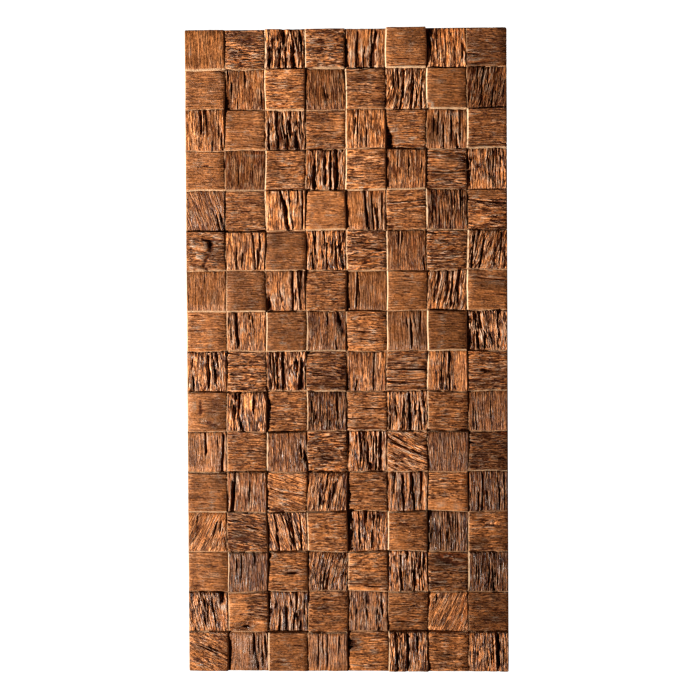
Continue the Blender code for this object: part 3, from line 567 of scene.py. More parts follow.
DARK_AND_SHADOW = {
    (1, 2): ((50, 22, 50, 16),),
    (1, 3): ((84, 50, 12, 45),),
    (1, 4): ((30, 48, 30, 12),),
    (1, 6): ((65, 30, 22, 24),),
    (1, 7): ((10, 40, 13, 50),),
    (1, 8): ((20, 67, 16, 9),),
    (2, 2): ((8, 75, 12, 30),),
    (2, 3): ((30, 72, 24, 10), (60, 45, 25, 8)),
    (2, 5): ((40, 24, 42, 13),),
    (3, 1): ((66, 50, 18, 55),),
    (3, 2): ((8, 25, 12, 30),),
    (3, 3): ((38, 50, 10, 50), (80, 75, 16, 28)),
    (3, 4): ((42, 18, 22, 12), (30, 70, 30, 9)),
    (3, 7): ((16, 60, 22, 40),),
    (4, 3): ((18, 45, 20, 32),),
    (4, 7): ((70, 26, 32, 14), (30, 66, 30, 9)),
    (4, 8): ((62, 40, 9, 50),),
    (5, 5): ((58, 60, 14, 50),),
    (5, 8): ((40, 12, 50, 14),),
    (6, 1): ((78, 55, 24, 34),),
    (6, 3): ((20, 25, 25, 20),),
    (6, 5): ((70, 40, 34, 12), (30, 70, 30, 10)),
    (7, 2): ((62, 80, 22, 12),),
    (7, 8): ((60, 40, 44, 12),),
    (8, 4): ((15, 30, 20, 30), (84, 30, 14, 30)),
    (8, 6): ((84, 74, 20, 26),),
    (9, 3): ((10, 50, 13, 50), (92, 60, 10, 45)),
    (9, 4): ((50, 86, 50, 12), (30, 53, 32, 8)),
    (9, 8): ((60, 52, 44, 9),),
    (10, 1): ((75, 60, 26, 45),),
    (10, 6): ((53, 50, 10, 55),),
    (11, 1): ((14, 45, 15, 50),),
    (11, 4): ((45, 60, 30, 12), (20, 25, 20, 12)),
    (11, 6): ((76, 20, 26, 16),),
    (12, 1): ((80, 30, 20, 25),),
    (12, 3): ((50, 92, 50, 9),),
    (12, 6): ((66, 50, 10, 50),),
    (13, 2): ((30, 60, 32, 20),),
    (13, 5): ((10, 50, 12, 55),),
    (13, 7): ((15, 65, 18, 35),),
    (13, 8): ((25, 80, 28, 14),),
    (14, 5): ((50, 75, 46, 9),),
    (14, 7): ((30, 30, 34, 14), (30, 80, 32, 9)),
    (15, 2): ((40, 85, 34, 13), (60, 20, 30, 12)),
    (15, 4): ((40, 42, 38, 10),),
    (15, 8): ((70, 62, 30, 16),),
    (16, 2): ((60, 60, 12, 42),),
    (16, 5): ((14, 30, 16, 24),),
    (16, 7): ((42, 62, 34, 12),),
}

# The photograph's viewpoint in metres and degrees, and its light: degrees out from the panel's face and
# down from level, distance in metres and powers in watts
CAMERA_PLACE = (0.0279, -1.4736, 0.0168)
CAMERA_TURN = (90 - 0.586, 0.312, 0.858)
CAMERA_LENS = 40.14
LIGHT_HEIGHT = 27
LIGHT_TURN = 25
LIGHT_DISTANCE = 6
LIGHT_TARGET = (-1.5, 0, 1.0)
LIGHT_POWERS = {"key": 5350, "fill": 12, "back_light": 60}

# The floor, in metres
FLOOR_LEVEL = -0.8
FLOOR_HALF = 1.8
FLOOR_FRONT = -2.2
FLOOR_BACK = 0.25

COLOURS = {
    "shade": (0.270, 0.083, 0.021),
    "brown": (0.460, 0.182, 0.060),
    "tan": (0.480, 0.240, 0.120),
    # the darkest colour: a dark wash, and painted shade in hollows, pits, splits, grooves and on the sides
    "wash_and_shade": (0.062, 0.013, 0.002),
    # the crests' colour: dry-brush, and in part a painted highlight
    "brush_and_highlight": (0.555, 0.390, 0.275),
    # the walls' pale colour: wear, and in part a painted highlight
    "wall": (0.520, 0.390, 0.250),
    "rust": (0.420, 0.090, 0.012),
    "foam": (0.520, 0.400, 0.250),
}


def runs_upright(row, column):
    """Whether the block's grain stands upright, as it does on every other block."""
    return (row + column) % 2 == 0


def smooth(value, low, high):
    """0 below low and 1 above high, with a smooth rise between."""
    share = np.clip((value - low) / (high - low), 0, 1)
    return share * share * (3 - 2 * share)


def bell(distance, half_width):
    """1 at the middle of a feature, falling smoothly to 0 at its edge."""
    return (1 - np.minimum(np.abs(distance) / half_width, 1) ** 2) ** 2


LATTICE = 64
SLOPES = np.random.default_rng(4).uniform(0, 2 * pi, (LATTICE, LATTICE))


def noise(x, y, seed):
    """Smooth seeded noise from about -1 to 1, which crosses 0 about once in each unit."""
    left, below = np.floor(x), np.floor(y)
    right, up = x - left, y - below
    ease_right = right**3 * (right * (6 * right - 15) + 10)
    ease_up = up**3 * (up * (6 * up - 15) + 10)
    total = np.zeros(np.shape(x))
    for step_up in (0, 1):
        for step_right in (0, 1):
            row = (below + step_up + 7 * seed).astype(int) % LATTICE
            column = (left + step_right + 11 * seed).astype(int) % LATTICE
            angle = SLOPES[row, column]
            ramp = np.cos(angle) * (right - step_right) + np.sin(angle) * (up - step_up)
            share = (ease_right if step_right else 1 - ease_right) * (ease_up if step_up else 1 - ease_up)
            total += ramp * share
    return 1.5 * total


def soften(grid, passes, axis):
    """Blurs a grid of heights along one axis."""
    for _ in range(passes):
        wide = np.pad(grid, [(1, 1) if k == axis else (0, 0) for k in (0, 1)], mode="edge")
        before, after = (wide[:-2], wide[2:]) if axis == 0 else (wide[:, :-2], wide[:, 2:])
        grid = (before + 2 * grid + after) / 4
    return grid


def grid_lines(count, margins, spots):
    """Places of the grid's lines over a block's face: closer by its two worn arrises and at the spots."""
    margins = np.array(margins)
    even = np.linspace(margins[-1], FACE - margins[-1], 8 * count + 1)
    need = np.zeros(even.shape)
    for middle, reach in spots:
        need += bell(even - middle, reach)
    need = 1 + CROWDING * np.minimum(need, 1)
    passed = np.concatenate(([0], np.cumsum(need[1:] + need[:-1])))
    inner = np.interp(np.linspace(0, passed[-1], count + 1), passed, even)
    return np.concatenate((margins[:-1], inner, FACE - margins[-2::-1]))


def on_face(right, down):
    """Millimetres right and up from a face's bottom left corner, from hundredths of its block."""
    return right / 100 * BLOCK - SEAM / 2, BLOCK - SEAM / 2 - down / 100 * BLOCK


def marks_of(row, column):
    """The straight runs of the block's listed marks, with their ends in millimetres right and up."""
    found = []
    for *path, width, depth in MARKS[row, column]:
        places = [on_face(right, down) for right, down in zip(path[::2], path[1::2])]
        found += [Mark(start, end, width, depth) for start, end in zip(places, places[1:])]
    return found


def spots_of(marks, upright, lean):
    """Where the marks need closer grid lines, across and along the grain: middles and reaches."""
    across, ahead = [], []
    for mark in marks:
        ends = [end if upright else end[::-1] for end in (mark.start, mark.end)]
        first, last = (place - lean * (along - FACE / 2) for place, along in ends)
        across.append(((first + last) / 2, abs(first - last) / 2 + mark.width / 2 + 2))
        ahead += [(along, 4) for place, along in ends]
    return across, ahead


def mark_height(marks, right, up, seed):
    """Height of the listed cracks, holes and ridges at places on a block's face."""
    cracks, ridges = np.zeros(right.shape), np.zeros(right.shape)
    waver = noise(right / 9, up / 9, seed)
    swell = 1 + MARK_SWELL * noise(right / 8, up / 8, seed + 9)
    for mark in marks:
        run_right, run_up = mark.end[0] - mark.start[0], mark.end[1] - mark.start[1]
        length = hypot(run_right, run_up)
        from_right, from_up = right - mark.start[0], up - mark.start[1]
        ahead = (from_right * run_right + from_up * run_up) / length
        aside = (from_up * run_right - from_right * run_up) / length + MARK_WAVER * mark.width * waver
        past = np.maximum(np.maximum(-ahead, ahead - length), 0)
        shape = bell(np.hypot(aside, 0.7 * past) / swell, MARK_REACH * mark.width) ** 0.8
        if mark.depth > 0:
            cracks = np.maximum(cracks, MARK_DEPTH * mark.depth * shape)
        else:
            ridges = np.maximum(ridges, -mark.depth * shape)
    return ridges - cracks


def patches_of(listed, right, up):
    """1 within a block's listed patches, falling to 0 outside them."""
    share = np.zeros(right.shape)
    for middle_right, middle_down, half_width, half_height in listed:
        middle = on_face(middle_right, middle_down)
        beside = (right - middle[0]) / (half_width / 100 * BLOCK)
        above = (up - middle[1]) / (half_height / 100 * BLOCK)
        share = np.maximum(share, 1 - smooth(np.hypot(beside, above), 0.7, 1.1))
    return share


def bend_round_knots(knots, place, along):
    """The grain's own coordinate where it flows round the knots."""
    bent = place.copy()
    for middle, far, knot in knots:
        apart, ahead = place - middle, along - far
        eye = knot.radius * np.exp(-((ahead / (1.8 * knot.radius)) ** 2))
        outside = np.sign(apart) * np.sqrt(np.maximum(apart**2 - eye**2, 0))
        rings = 0.6 * np.hypot(apart, ahead)
        reach = bell(np.hypot(apart, 0.6 * ahead), 4 * knot.radius)
        flow = middle + np.where(np.abs(apart) < eye, rings, outside)
        bent += reach**0.5 * (flow - place)
    return bent


def timber_relief(kind, grain, along, seed):
    """Height of the weathered timber across and along its grain: ridges, fine lines, cracks and pits."""
    patch = noise(grain / 16, along / 30, seed + 4)
    ridge = noise(grain / kind.pitch, along / kind.length, seed)
    twin = noise(grain / (0.55 * kind.pitch) + 0.5 * ridge, along / (0.6 * kind.length), seed + 1)
    both = 0.65 * ridge + 0.8 * twin
    peaks = 0.45 - 0.65 * np.abs(ridge) - 0.8 * np.abs(twin)
    height = kind.depth * (kind.crest * peaks + (1 - abs(kind.crest)) * both)
    height *= 0.55 + 0.75 * smooth(patch, -0.5, 0.4)
    height += 1.2 * kind.fine * noise(grain / 2.05, along / 20, seed + 2)
    for pitch, length, share in CRACK_FIELDS:
        crack = noise(grain / pitch + 0.4 * twin, along / (length * kind.length), seed + 3 + int(pitch))
        valley = np.exp(-((crack * pitch / CRACK_WIDTH) ** 2))
        height -= share * kind.crack * valley * smooth(patch, -0.45, 0.2)
    short = noise(grain / 3.2, along / 13, seed + 5) + 0.35 * noise(grain / 22, along / 30, seed + 8)
    height -= kind.pit * smooth(short, 0.35, 0.6)
    return height


class Skin:
    """Collects the casting's points, what the material reads at each of them, and its faces."""

    PLACES = ("across", "along", "seed")
    READ = ("relief", "wall", "tone", "pitting", "lined", "rust", "bare")
    VALUES = (*PLACES, *READ, "spread")

    def __init__(self):
        self.places = []
        self.values = []
        self.faces = []
        self.walls = []
        self.count = 0

    def add(self, x, height, z, **values):
        """Adds points that stand so far out from the wall; gives their numbers in the same shape."""
        shape = np.shape(x)
        columns = [np.ravel(np.broadcast_to(part, shape)) for part in (x, -np.asarray(height), z)]
        self.places.append(np.stack(columns, axis=1) * MM)
        given = [np.ravel(np.broadcast_to(values.get(name, 0.0), shape)) for name in self.VALUES]
        self.values.append(np.stack(given, axis=1))
        first = self.count
        self.count += columns[0].size
        return np.arange(first, self.count).reshape(shape)

    def place(self, numbers, axis):
        """One coordinate, in millimetres, of points that were added."""
        if not hasattr(self, "joined") or len(self.joined) != self.count:
            self.joined = np.concatenate(self.places)
        return self.joined[numbers, axis] / MM

    def loft(self, first, second, axis):
        """Triangles between two chains of points that both run along one axis."""
        first_at, second_at = self.place(first, axis), self.place(second, axis)
        i = j = 0
        while i + 1 < len(first) or j + 1 < len(second):
            first_next = first_at[i + 1] if i + 1 < len(first) else np.inf
            second_next = second_at[j + 1] if j + 1 < len(second) else np.inf
            if first_next <= second_next:
                self.faces.append((first[i], first[i + 1], second[j]))
                i += 1
            else:
                self.faces.append((first[i], second[j + 1], second[j]))
                j += 1

    def fan(self, middle, ring):
        """Triangles from one point to each pair of neighbours in a chain."""
        for here, there in zip(ring, ring[1:]):
            self.faces.append((middle, here, there))


def solid_heights(tree, x, z):
    """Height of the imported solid's front over the slab at each place."""
    heights = []
    for across, up in zip(np.ravel(x), np.ravel(z)):
        hit = tree.ray_cast(Vector((across * MM, -1, up * MM)), Vector((0, 1, 0)))[0]
        heights.append(-hit.y / MM - SLAB)
    return np.reshape(heights, np.shape(x))


def knots_of(row, column):
    """The block's knots, each with its place across and along the grain."""
    found = []
    for knot in KNOTS:
        if (knot.row, knot.column) == (row, column):
            across, along = (knot.right, knot.up) if runs_upright(row, column) else (knot.up, knot.right)
            found.append((across * FACE, along * FACE, knot))
    return found


def kind_of(row, column):
    """The block's kind of grain, with its values as they are for the way that the grain runs."""
    kind = GRAINS[GRAIN_MAP[row - 1][column - 1]]
    shares = UPRIGHT_SHARES if runs_upright(row, column) else LEVEL_SHARES
    return kind._replace(**{name: share * getattr(kind, name) for name, share in shares.items()})


def stain_of(row, column):
    """Brightness of the block's stain."""
    tone = STAIN_TONES[int(STAIN_MAP[row - 1][column - 1])]
    return tone * (1 + 0.1 * noise(np.array(0.5), np.array(0.5), 16 * row + column))


def block_grid(row, column, kind, marks):
    """Places over a block's front: across and along it, and the grain's own coordinate there."""
    upright, lean = runs_upright(row, column), LEANS.get((row, column), 0)
    across_spots, along_spots = spots_of(marks, upright, lean)
    line, along = np.meshgrid(
        grid_lines(int(kind.strips), (0, ARRIS, 2.5 * ARRIS), across_spots),
        grid_lines(kind.runs, (0, 1.25 * ARRIS), along_spots),
    )

    def drift(place):
        swaying = noise(place / SWAY_PITCHES[0], along / SWAY_PITCHES[1], 16 * row + column + 6)
        return lean * (along - FACE / 2) + kind.sway * swaying

    hold = smooth(FACE / 2 - np.abs(line - FACE / 2), 0, FACE / 2)
    place = line + hold * drift(line)
    return place, along, place - drift(place)


def sink_knots(height, knots, place, along):
    """Sinks the knots into a grid of heights, with the rings round them."""
    for middle, far, knot in knots:
        apart = np.hypot(place - middle, along - far)
        height -= knot.depth * bell(apart, knot.radius)
        height += RING_HEIGHT * np.cos(2 * pi * apart / RING_PITCH) * bell(apart, 1.6 * knot.radius)


def add_block(skin, tree, row, column):
    """The front of one block. Gives back its four edges, as chains that run right or up."""
    kind = kind_of(row, column)
    seed = 16 * row + column
    upright = runs_upright(row, column)
    marks = marks_of(row, column)
    knots = knots_of(row, column)
    place, along, straight = block_grid(row, column, kind, marks)
    grain = bend_round_knots(knots, straight, along)

    left = (column - 0.5) * BLOCK - WIDTH / 2 - FACE / 2
    bottom = TALL / 2 - (row - 0.5) * BLOCK - FACE / 2
    right, up = (place, along) if upright else (along, place)
    x, z = left + right, bottom + up
    inside_x = np.clip(x, left + SEAM / 2, left + FACE - SEAM / 2)
    inside_z = np.clip(z, bottom + SEAM / 2, bottom + FACE - SEAM / 2)
    height = soften(soften(solid_heights(tree, inside_x, inside_z), SOLID_BLUR, 1), 1, 0)

    calm = patches_of(SMOOTH.get((row, column), ()), right, up)
    from_rim = np.minimum(WIDTH / 2 - np.abs(x), TALL / 2 - np.abs(z))
    within = smooth(from_rim, SEAM / 2, 3 * SEAM)
    carved = (1 - SMOOTH_SHARE * calm) * timber_relief(kind, grain, along, seed)
    carved += mark_height(marks, right, up, seed)
    height += (RIM_SHARE + (1 - RIM_SHARE) * within) * carved
    height += UNDULATION * noise(right / UNDULATION_PITCH, up / UNDULATION_PITCH, seed + 12)
    sink_knots(height, knots, place, along)

    # relief is below 0 in hollows and above 0 on crests; the material paints shade into the hollows and a
    # highlight onto the crests from it
    narrow = height - soften(soften(height, NARROW_BLUR, 1), 1, 0)
    wide = height - soften(soften(height, WIDE_BLUR, 1), 4, 0)
    relief = 0.6 * narrow + 0.5 * wide

    from_edge = FACE / 2 - np.maximum(np.abs(x - left - FACE / 2), np.abs(z - bottom - FACE / 2))
    worn = ARRIS * (1 + 0.5 * noise(x / 7, z / 7, 3))
    height -= worn - np.sqrt(worn**2 - np.maximum(worn - from_edge, 0) ** 2)
    chip = smooth(noise(x / 6, z / 6, 5), 0.4, 0.9)
    height -= CHIP_DEPTH * chip * bell(from_edge, CHIP_REACH)
    height = np.maximum(height, LEAST_HEIGHT)

    tone = kind.tone * stain_of(row, column)
    # the listed darker patches are partly a darker stain and partly painted shadow cast by higher neighbours
    tone *= 1 - DARK_AND_SHADOW_SHARE * patches_of(DARK_AND_SHADOW.get((row, column), ()), right, up)
    x, z = round_corners(x, z)
    surface = {
        "x": x,
        "height": SLAB + height,
        "z": z,
        "across": grain / BLOCK + NOISE_STEPS[0] * seed,
        "along": along / BLOCK + NOISE_STEPS[1] * seed,
        "seed": np.full(x.shape, NOISE_STEPS[2] * seed),
        "relief": relief,
        # a block's edges take the pale wall colour, partly wear and partly a painted highlight
        "wall": from_edge < 0.1,
        "tone": tone,
        "pitting": kind.pit * (1 - 0.7 * calm),
        "lined": kind.lined * (1 - 0.5 * calm),
        "rust": patches_of(RUST.get((row, column), ()), right, up),
    }
    if not upright:
        surface = {name: grid.T for name, grid in surface.items()}
    numbers = skin.add(**surface)
    quads = np.stack([numbers[:-1, :-1], numbers[:-1, 1:], numbers[1:, 1:], numbers[1:, :-1]], axis=-1)
    skin.faces.extend(quads.reshape(-1, 4).tolist())
    return {
        "left": numbers[:, 0],
        "right": numbers[:, -1],
        "bottom": numbers[0, :],
        "top": numbers[-1, :],
    }


def round_corners(x, z):
    """Draws places in the panel's four corners in, to stand within its rounded outline."""
    reach = CORNER_RADIUS - SEAM / 2
    beside = (np.abs(x) - (WIDTH / 2 - CORNER_RADIUS)) / reach
    above = (np.abs(z) - (TALL / 2 - CORNER_RADIUS)) / reach
    in_corner = (beside > 0) & (above > 0)
    beside, above = np.clip(beside, 0, 1), np.clip(above, 0, 1)
    x_in = np.sign(x) * (WIDTH / 2 - CORNER_RADIUS + reach * beside * np.sqrt(1 - above**2 / 2))
    z_in = np.sign(z) * (TALL / 2 - CORNER_RADIUS + reach * above * np.sqrt(1 - beside**2 / 2))
    return np.where(in_corner, x_in, x), np.where(in_corner, z_in, z)


def add_seam(skin, first, second, run_axis, boundary):
    """The groove between two neighbours, and the wall up to the higher one. Gives its bottom's chain."""
    first_run, second_run = skin.place(first, run_axis), skin.place(second, run_axis)
    runs = np.linspace(first_run[0], first_run[-1], SEAM_RUNS + 1)
    half_step = (runs[1] - runs[0]) / 2

    def lowest(chain, at):
        heights = -skin.place(chain, 1)
        return np.min([np.interp(runs + shift, at, heights) for shift in (-half_step, 0, half_step)], axis=0)

    first_height, second_height = lowest(first, first_run), lowest(second, second_run)
    shift = GROOVE_SHIFTS["upright" if run_axis == 2 else "level"]
    side = boundary + shift * np.tanh(first_height - second_height)
    height = np.minimum(first_height, second_height) - GROOVE
    x, z = (side, runs) if run_axis == 2 else (runs, side)
    # the groove's bottom is darkened toward the darkest colour: painted shade
    chain = skin.add(x, height, z, across=x / BLOCK, along=z / BLOCK, relief=-0.4, wall=0.6, tone=1.0)
    skin.loft(first, chain, run_axis)
    skin.loft(chain, second, run_axis)
    # the higher block's edge takes the pale wall colour, partly a painted highlight, less on level seams
    step = np.mean(first_height) - np.mean(second_height)
    lit = 1.0 if run_axis == 2 else LEVEL_LIT
    skin.walls.append((first, lit * smooth(step, *LIT_STEPS)))
    skin.walls.append((second, lit * smooth(-step, *LIT_STEPS)))
    return chain


def add_outline(skin, depth, inset, step, **values):
    """The panel's rounded outline at one depth: four sides, cut to about one step, and four corners."""
    radius = CORNER_RADIUS - inset
    end_x, end_z = WIDTH / 2 - CORNER_RADIUS, TALL / 2 - CORNER_RADIUS
    out_x, out_z = WIDTH / 2 - inset, TALL / 2 - inset
    along_x = np.linspace(-end_x, end_x, max(int(2 * end_x / step), 1) + 1)
    along_z = np.linspace(-end_z, end_z, max(int(2 * end_z / step), 1) + 1)
    ring = {
        "bottom": skin.add(along_x, depth, np.full(along_x.shape, -out_z), **values),
        "top": skin.add(along_x, depth, np.full(along_x.shape, out_z), **values),
        "left": skin.add(np.full(along_z.shape, -out_x), depth, along_z, **values),
        "right": skin.add(np.full(along_z.shape, out_x), depth, along_z, **values),
    }
    turn = np.linspace(0, pi / 2, CORNER_STEPS + 1)[1:-1]
    for side_x, sign_x in (("left", -1), ("right", 1)):
        for side_z, sign_z in (("bottom", -1), ("top", 1)):
            x = sign_x * (end_x + radius * np.cos(turn))
            z = sign_z * (end_z + radius * np.sin(turn))
            arc = skin.add(x, depth, z, **values)
            first = ring[side_x][-1 if sign_z == 1 else 0]
            last = ring[side_z][-1 if sign_x == 1 else 0]
            ring[side_x + side_z] = np.concatenate(([first], arc, [last]))
    return ring


def add_fronts(skin, tree):
    """All blocks and the seams between them. Gives the chains round the front's border."""
    blocks = {
        (row, column): add_block(skin, tree, row, column)
        for row in range(1, ROWS + 1)
        for column in range(1, COLUMNS + 1)
    }
    upright, level = {}, {}
    for row, column in blocks:
        here = blocks[row, column]
        if column < COLUMNS:
            boundary = column * BLOCK - WIDTH / 2
            upright[row, column] = add_seam(skin, here["right"], blocks[row, column + 1]["left"], 2, boundary)
        if row < ROWS:
            boundary = TALL / 2 - row * BLOCK
            level[row, column] = add_seam(skin, blocks[row + 1, column]["top"], here["bottom"], 0, boundary)
    for row in range(1, ROWS):
        for column in range(1, COLUMNS):
            add_crossing(skin, blocks, upright, level, row, column)

    border = {
        "top": [blocks[1, 1]["top"]],
        "bottom": [blocks[ROWS, 1]["bottom"]],
        "left": [blocks[ROWS, 1]["left"]],
        "right": [blocks[ROWS, COLUMNS]["right"]],
    }
    for column in range(1, COLUMNS):
        border["top"] += [upright[1, column][-1:], blocks[1, column + 1]["top"]]
        border["bottom"] += [upright[ROWS, column][:1], blocks[ROWS, column + 1]["bottom"]]
    for row in range(ROWS - 1, 0, -1):
        border["left"] += [level[row, 1][:1], blocks[row, 1]["left"]]
        border["right"] += [level[row, COLUMNS][-1:], blocks[row, COLUMNS]["right"]]
    return {side: np.concatenate(chains) for side, chains in border.items()}


def add_crossing(skin, blocks, upright, level, row, column):
    """The pit where the corners of four blocks meet."""
    over, under = upright[row, column][0], upright[row + 1, column][-1]
    before, after = level[row, column][-1], level[row, column + 1][0]
    ring = [
        over,
        blocks[row, column + 1]["left"][0],
        after,
        blocks[row + 1, column + 1]["left"][-1],
        under,
        blocks[row + 1, column]["right"][-1],
        before,
        blocks[row, column]["right"][0],
        over,
    ]
    height = np.min(-skin.place(ring, 1)) - GROOVE / 3
    x, z = column * BLOCK - WIDTH / 2, TALL / 2 - row * BLOCK
    # its bottom point is painted nearly the darkest colour: painted shade in the pit
    middle = skin.add(np.array([x]), height, np.array([z]), relief=-1.0, wall=1.0, tone=1.0)[0]
    skin.fan(middle, ring)


def add_sides_and_back(skin, border):
    """The outer walls of the blocks, the slab's plain sides and its flat back."""
    # the outer sides take the pale wall colour, darkened about halfway toward the darkest colour: painted
    # shade against the strong key light on them
    painted = {"wall": 1.0, "tone": 1.0, "relief": -0.6}
    rim = add_outline(skin, SLAB, 0, BLOCK / SEAM_RUNS, **painted, spread=RIM_SPREAD)
    heel = add_outline(skin, BACK_ROUND, 0, BLOCK, **painted, spread=HEEL_SPREAD)
    back = add_outline(skin, 0, BACK_ROUND, WIDTH, bare=1.0, tone=1.0)
    for side, axis in (("top", 0), ("bottom", 0), ("left", 2), ("right", 2)):
        skin.loft(border[side], rim[side], axis)
        skin.loft(rim[side], heel[side], axis)
        skin.loft(heel[side], back[side], axis)
    for side_x in ("left", "right"):
        for side_z in ("bottom", "top"):
            name = side_x + side_z
            corner = border[side_z][-1 if side_x == "right" else 0]
            skin.fan(corner, rim[name])
            for outer, inner in ((rim[name], heel[name]), (heel[name], back[name])):
                for k in range(CORNER_STEPS):
                    skin.faces.append((outer[k], outer[k + 1], inner[k + 1], inner[k]))
    skin.faces.append((
        *back["bottom"],
        *back["rightbottom"][-2:0:-1],
        *back["right"],
        *back["righttop"][1:-1],
        *back["top"][::-1],
        *back["lefttop"][-2:0:-1],
        *back["left"][::-1],
        *back["leftbottom"][1:-1],
    ))


def wander(x, z):
    """How far the hand-made mould's seams stray sideways from straight lines; not at its outline."""
    inside = smooth(np.minimum(WIDTH / 2 - np.abs(x), TALL / 2 - np.abs(z)), 0, WANDER_FADE)
    sideways = noise(x / WANDER_PITCH, z / WANDER_PITCH, 90)
    upwards = noise(x / WANDER_PITCH, z / WANDER_PITCH, 91)
    return WANDER * (inside * np.stack([sideways, upwards])).T


def write_values(data, values):
    """Stores on the mesh what the material reads."""
    named = dict(zip(Skin.VALUES, values.T))
    grain = data.attributes.new("grain", "FLOAT_VECTOR", "POINT")
    grain.data.foreach_set("vector", values[:, :3].ravel())
    for name in Skin.READ:
        made = data.attributes.new(name, "FLOAT", "POINT")
        made.data.foreach_set("value", named[name])


def write_bake_map(data, values):
    """A flat map: the front and sides unfolded on the left, the back small on the right."""
    named = dict(zip(Skin.VALUES, values.T))
    spread, bare = named["spread"], named["bare"]
    layer = data.uv_layers.new(name="OFBake")
    for face in data.polygons:
        is_back = all(bare[k] > 0 for k in face.vertices) or face.normal.y > 0.3
        for loop in face.loop_indices:
            k = data.loops[loop].vertex_index
            x, z = data.vertices[k].co.x / MM, data.vertices[k].co.z / MM
            if is_back:
                u = MAP_BACK[0] + MAP_BACK[1] * (x / WIDTH + 0.5)
                v = 0.01 + 0.98 * (z / TALL + 0.5)
            else:
                u = MAP_FRONT * (x * (1 + 2 * spread[k] / WIDTH) / (WIDTH + 2 * MAP_MARGIN) + 0.5)
                v = z * (1 + 2 * spread[k] / TALL) / (TALL + 2 * MAP_MARGIN) + 0.5
            layer.data[loop].uv = (u, v)


def shade_smooth(data, bare):
    """Smooth shading, but for steep edges and the flat back's own."""
    data.shade_smooth()
    data.set_sharp_from_angle(angle=radians(60))
    for edge in data.edges:
        edge.use_edge_sharp |= all(bare[k] > 0 for k in edge.vertices)


def make_casting():
    """The whole panel as one closed mesh."""
    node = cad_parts["wall_panel"]
    tree = BVHTree.FromObject(node, bpy.context.evaluated_depsgraph_get())
    skin = Skin()
    border = add_fronts(skin, tree)
    add_sides_and_back(skin, border)
    values = np.concatenate(skin.values)
    for chain, wall in skin.walls:
        values[chain, Skin.VALUES.index("wall")] = wall
    places = np.concatenate(skin.places)
    places[:, [0, 2]] += wander(places[:, 0] / MM, places[:, 2] / MM) * MM
    data = bpy.data.meshes.new("timber_block_casting")
    data.from_pydata(places.tolist(), [], [tuple(map(int, face)) for face in skin.faces])
    mesh = bmesh.new()
    mesh.from_mesh(data)
    bmesh.ops.recalc_face_normals(mesh, faces=mesh.faces)
    mesh.to_mesh(data)
    mesh.free()
    write_values(data, values)
    write_bake_map(data, values)
    shade_smooth(data, values[:, Skin.VALUES.index("bare")])
    casting = bpy.data.objects.new("timber_block_casting", data)
    bpy.context.scene.collection.objects.link(casting)
    return casting


class Nodes:
    """Short ways to add and join a material's nodes."""

    def __init__(self, name):
        self.material = bpy.data.materials.new(name)
        self.material.use_nodes = True
        self.tree = self.material.node_tree
        self.shader = self.tree.nodes["Principled BSDF"]

    def add(self, kind, output, inputs=(), **settings):
        """A node with its settings and inputs, which are values or other nodes' outputs."""
        made = self.tree.nodes.new(kind)
        for name, setting in settings.items():
            setattr(made, name, setting)
        for socket, value in dict(inputs).items():
            if isinstance(value, bpy.types.NodeSocket):
                self.tree.links.new(value, made.inputs[socket])
            else:
                made.inputs[socket].default_value = value
        return made.outputs[output]

    def attribute(self, name, output="Fac"):
        return self.add("ShaderNodeAttribute", output, attribute_name=name)

    def stretched(self, vector, scale):
        return self.add("ShaderNodeVectorMath", 0, {0: vector, 1: scale}, operation="MULTIPLY")

    def noise(self, vector, scale, detail=3.0, roughness=0.5, distortion=0.0):
        inputs = {
            "Vector": self.stretched(vector, scale),
            "Scale": 1.0,
            "Detail": detail,
            "Roughness": roughness,
            "Distortion": distortion,
        }
        return self.add("ShaderNodeTexNoise", "Fac", inputs)

    def math(self, operation, first, second=0.0):
        return self.add("ShaderNodeMath", 0, {0: first, 1: second}, operation=operation)

    def rise(self, value, low, high, bottom=0.0, top=1.0):
        """Maps a range of a value to another one, held at its ends."""
        inputs = {"Value": value, "From Min": low, "From Max": high, "To Min": bottom, "To Max": top}
        return self.add("ShaderNodeMapRange", "Result", inputs, interpolation_type="SMOOTHSTEP")

    def blend(self, share, first, second, blend_type="MIX"):
        inputs = {0: share, 6: first, 7: second}
        return self.add("ShaderNodeMix", 2, inputs, data_type="RGBA", blend_type=blend_type)

    def bump(self, height, distance, strength=1.0):
        return self.add("ShaderNodeBump", 0, {"Height": height, "Distance": distance, "Strength": strength})


def opaque(name):
    """A listed colour with its alpha."""
    return (*COLOURS[name], 1.0)


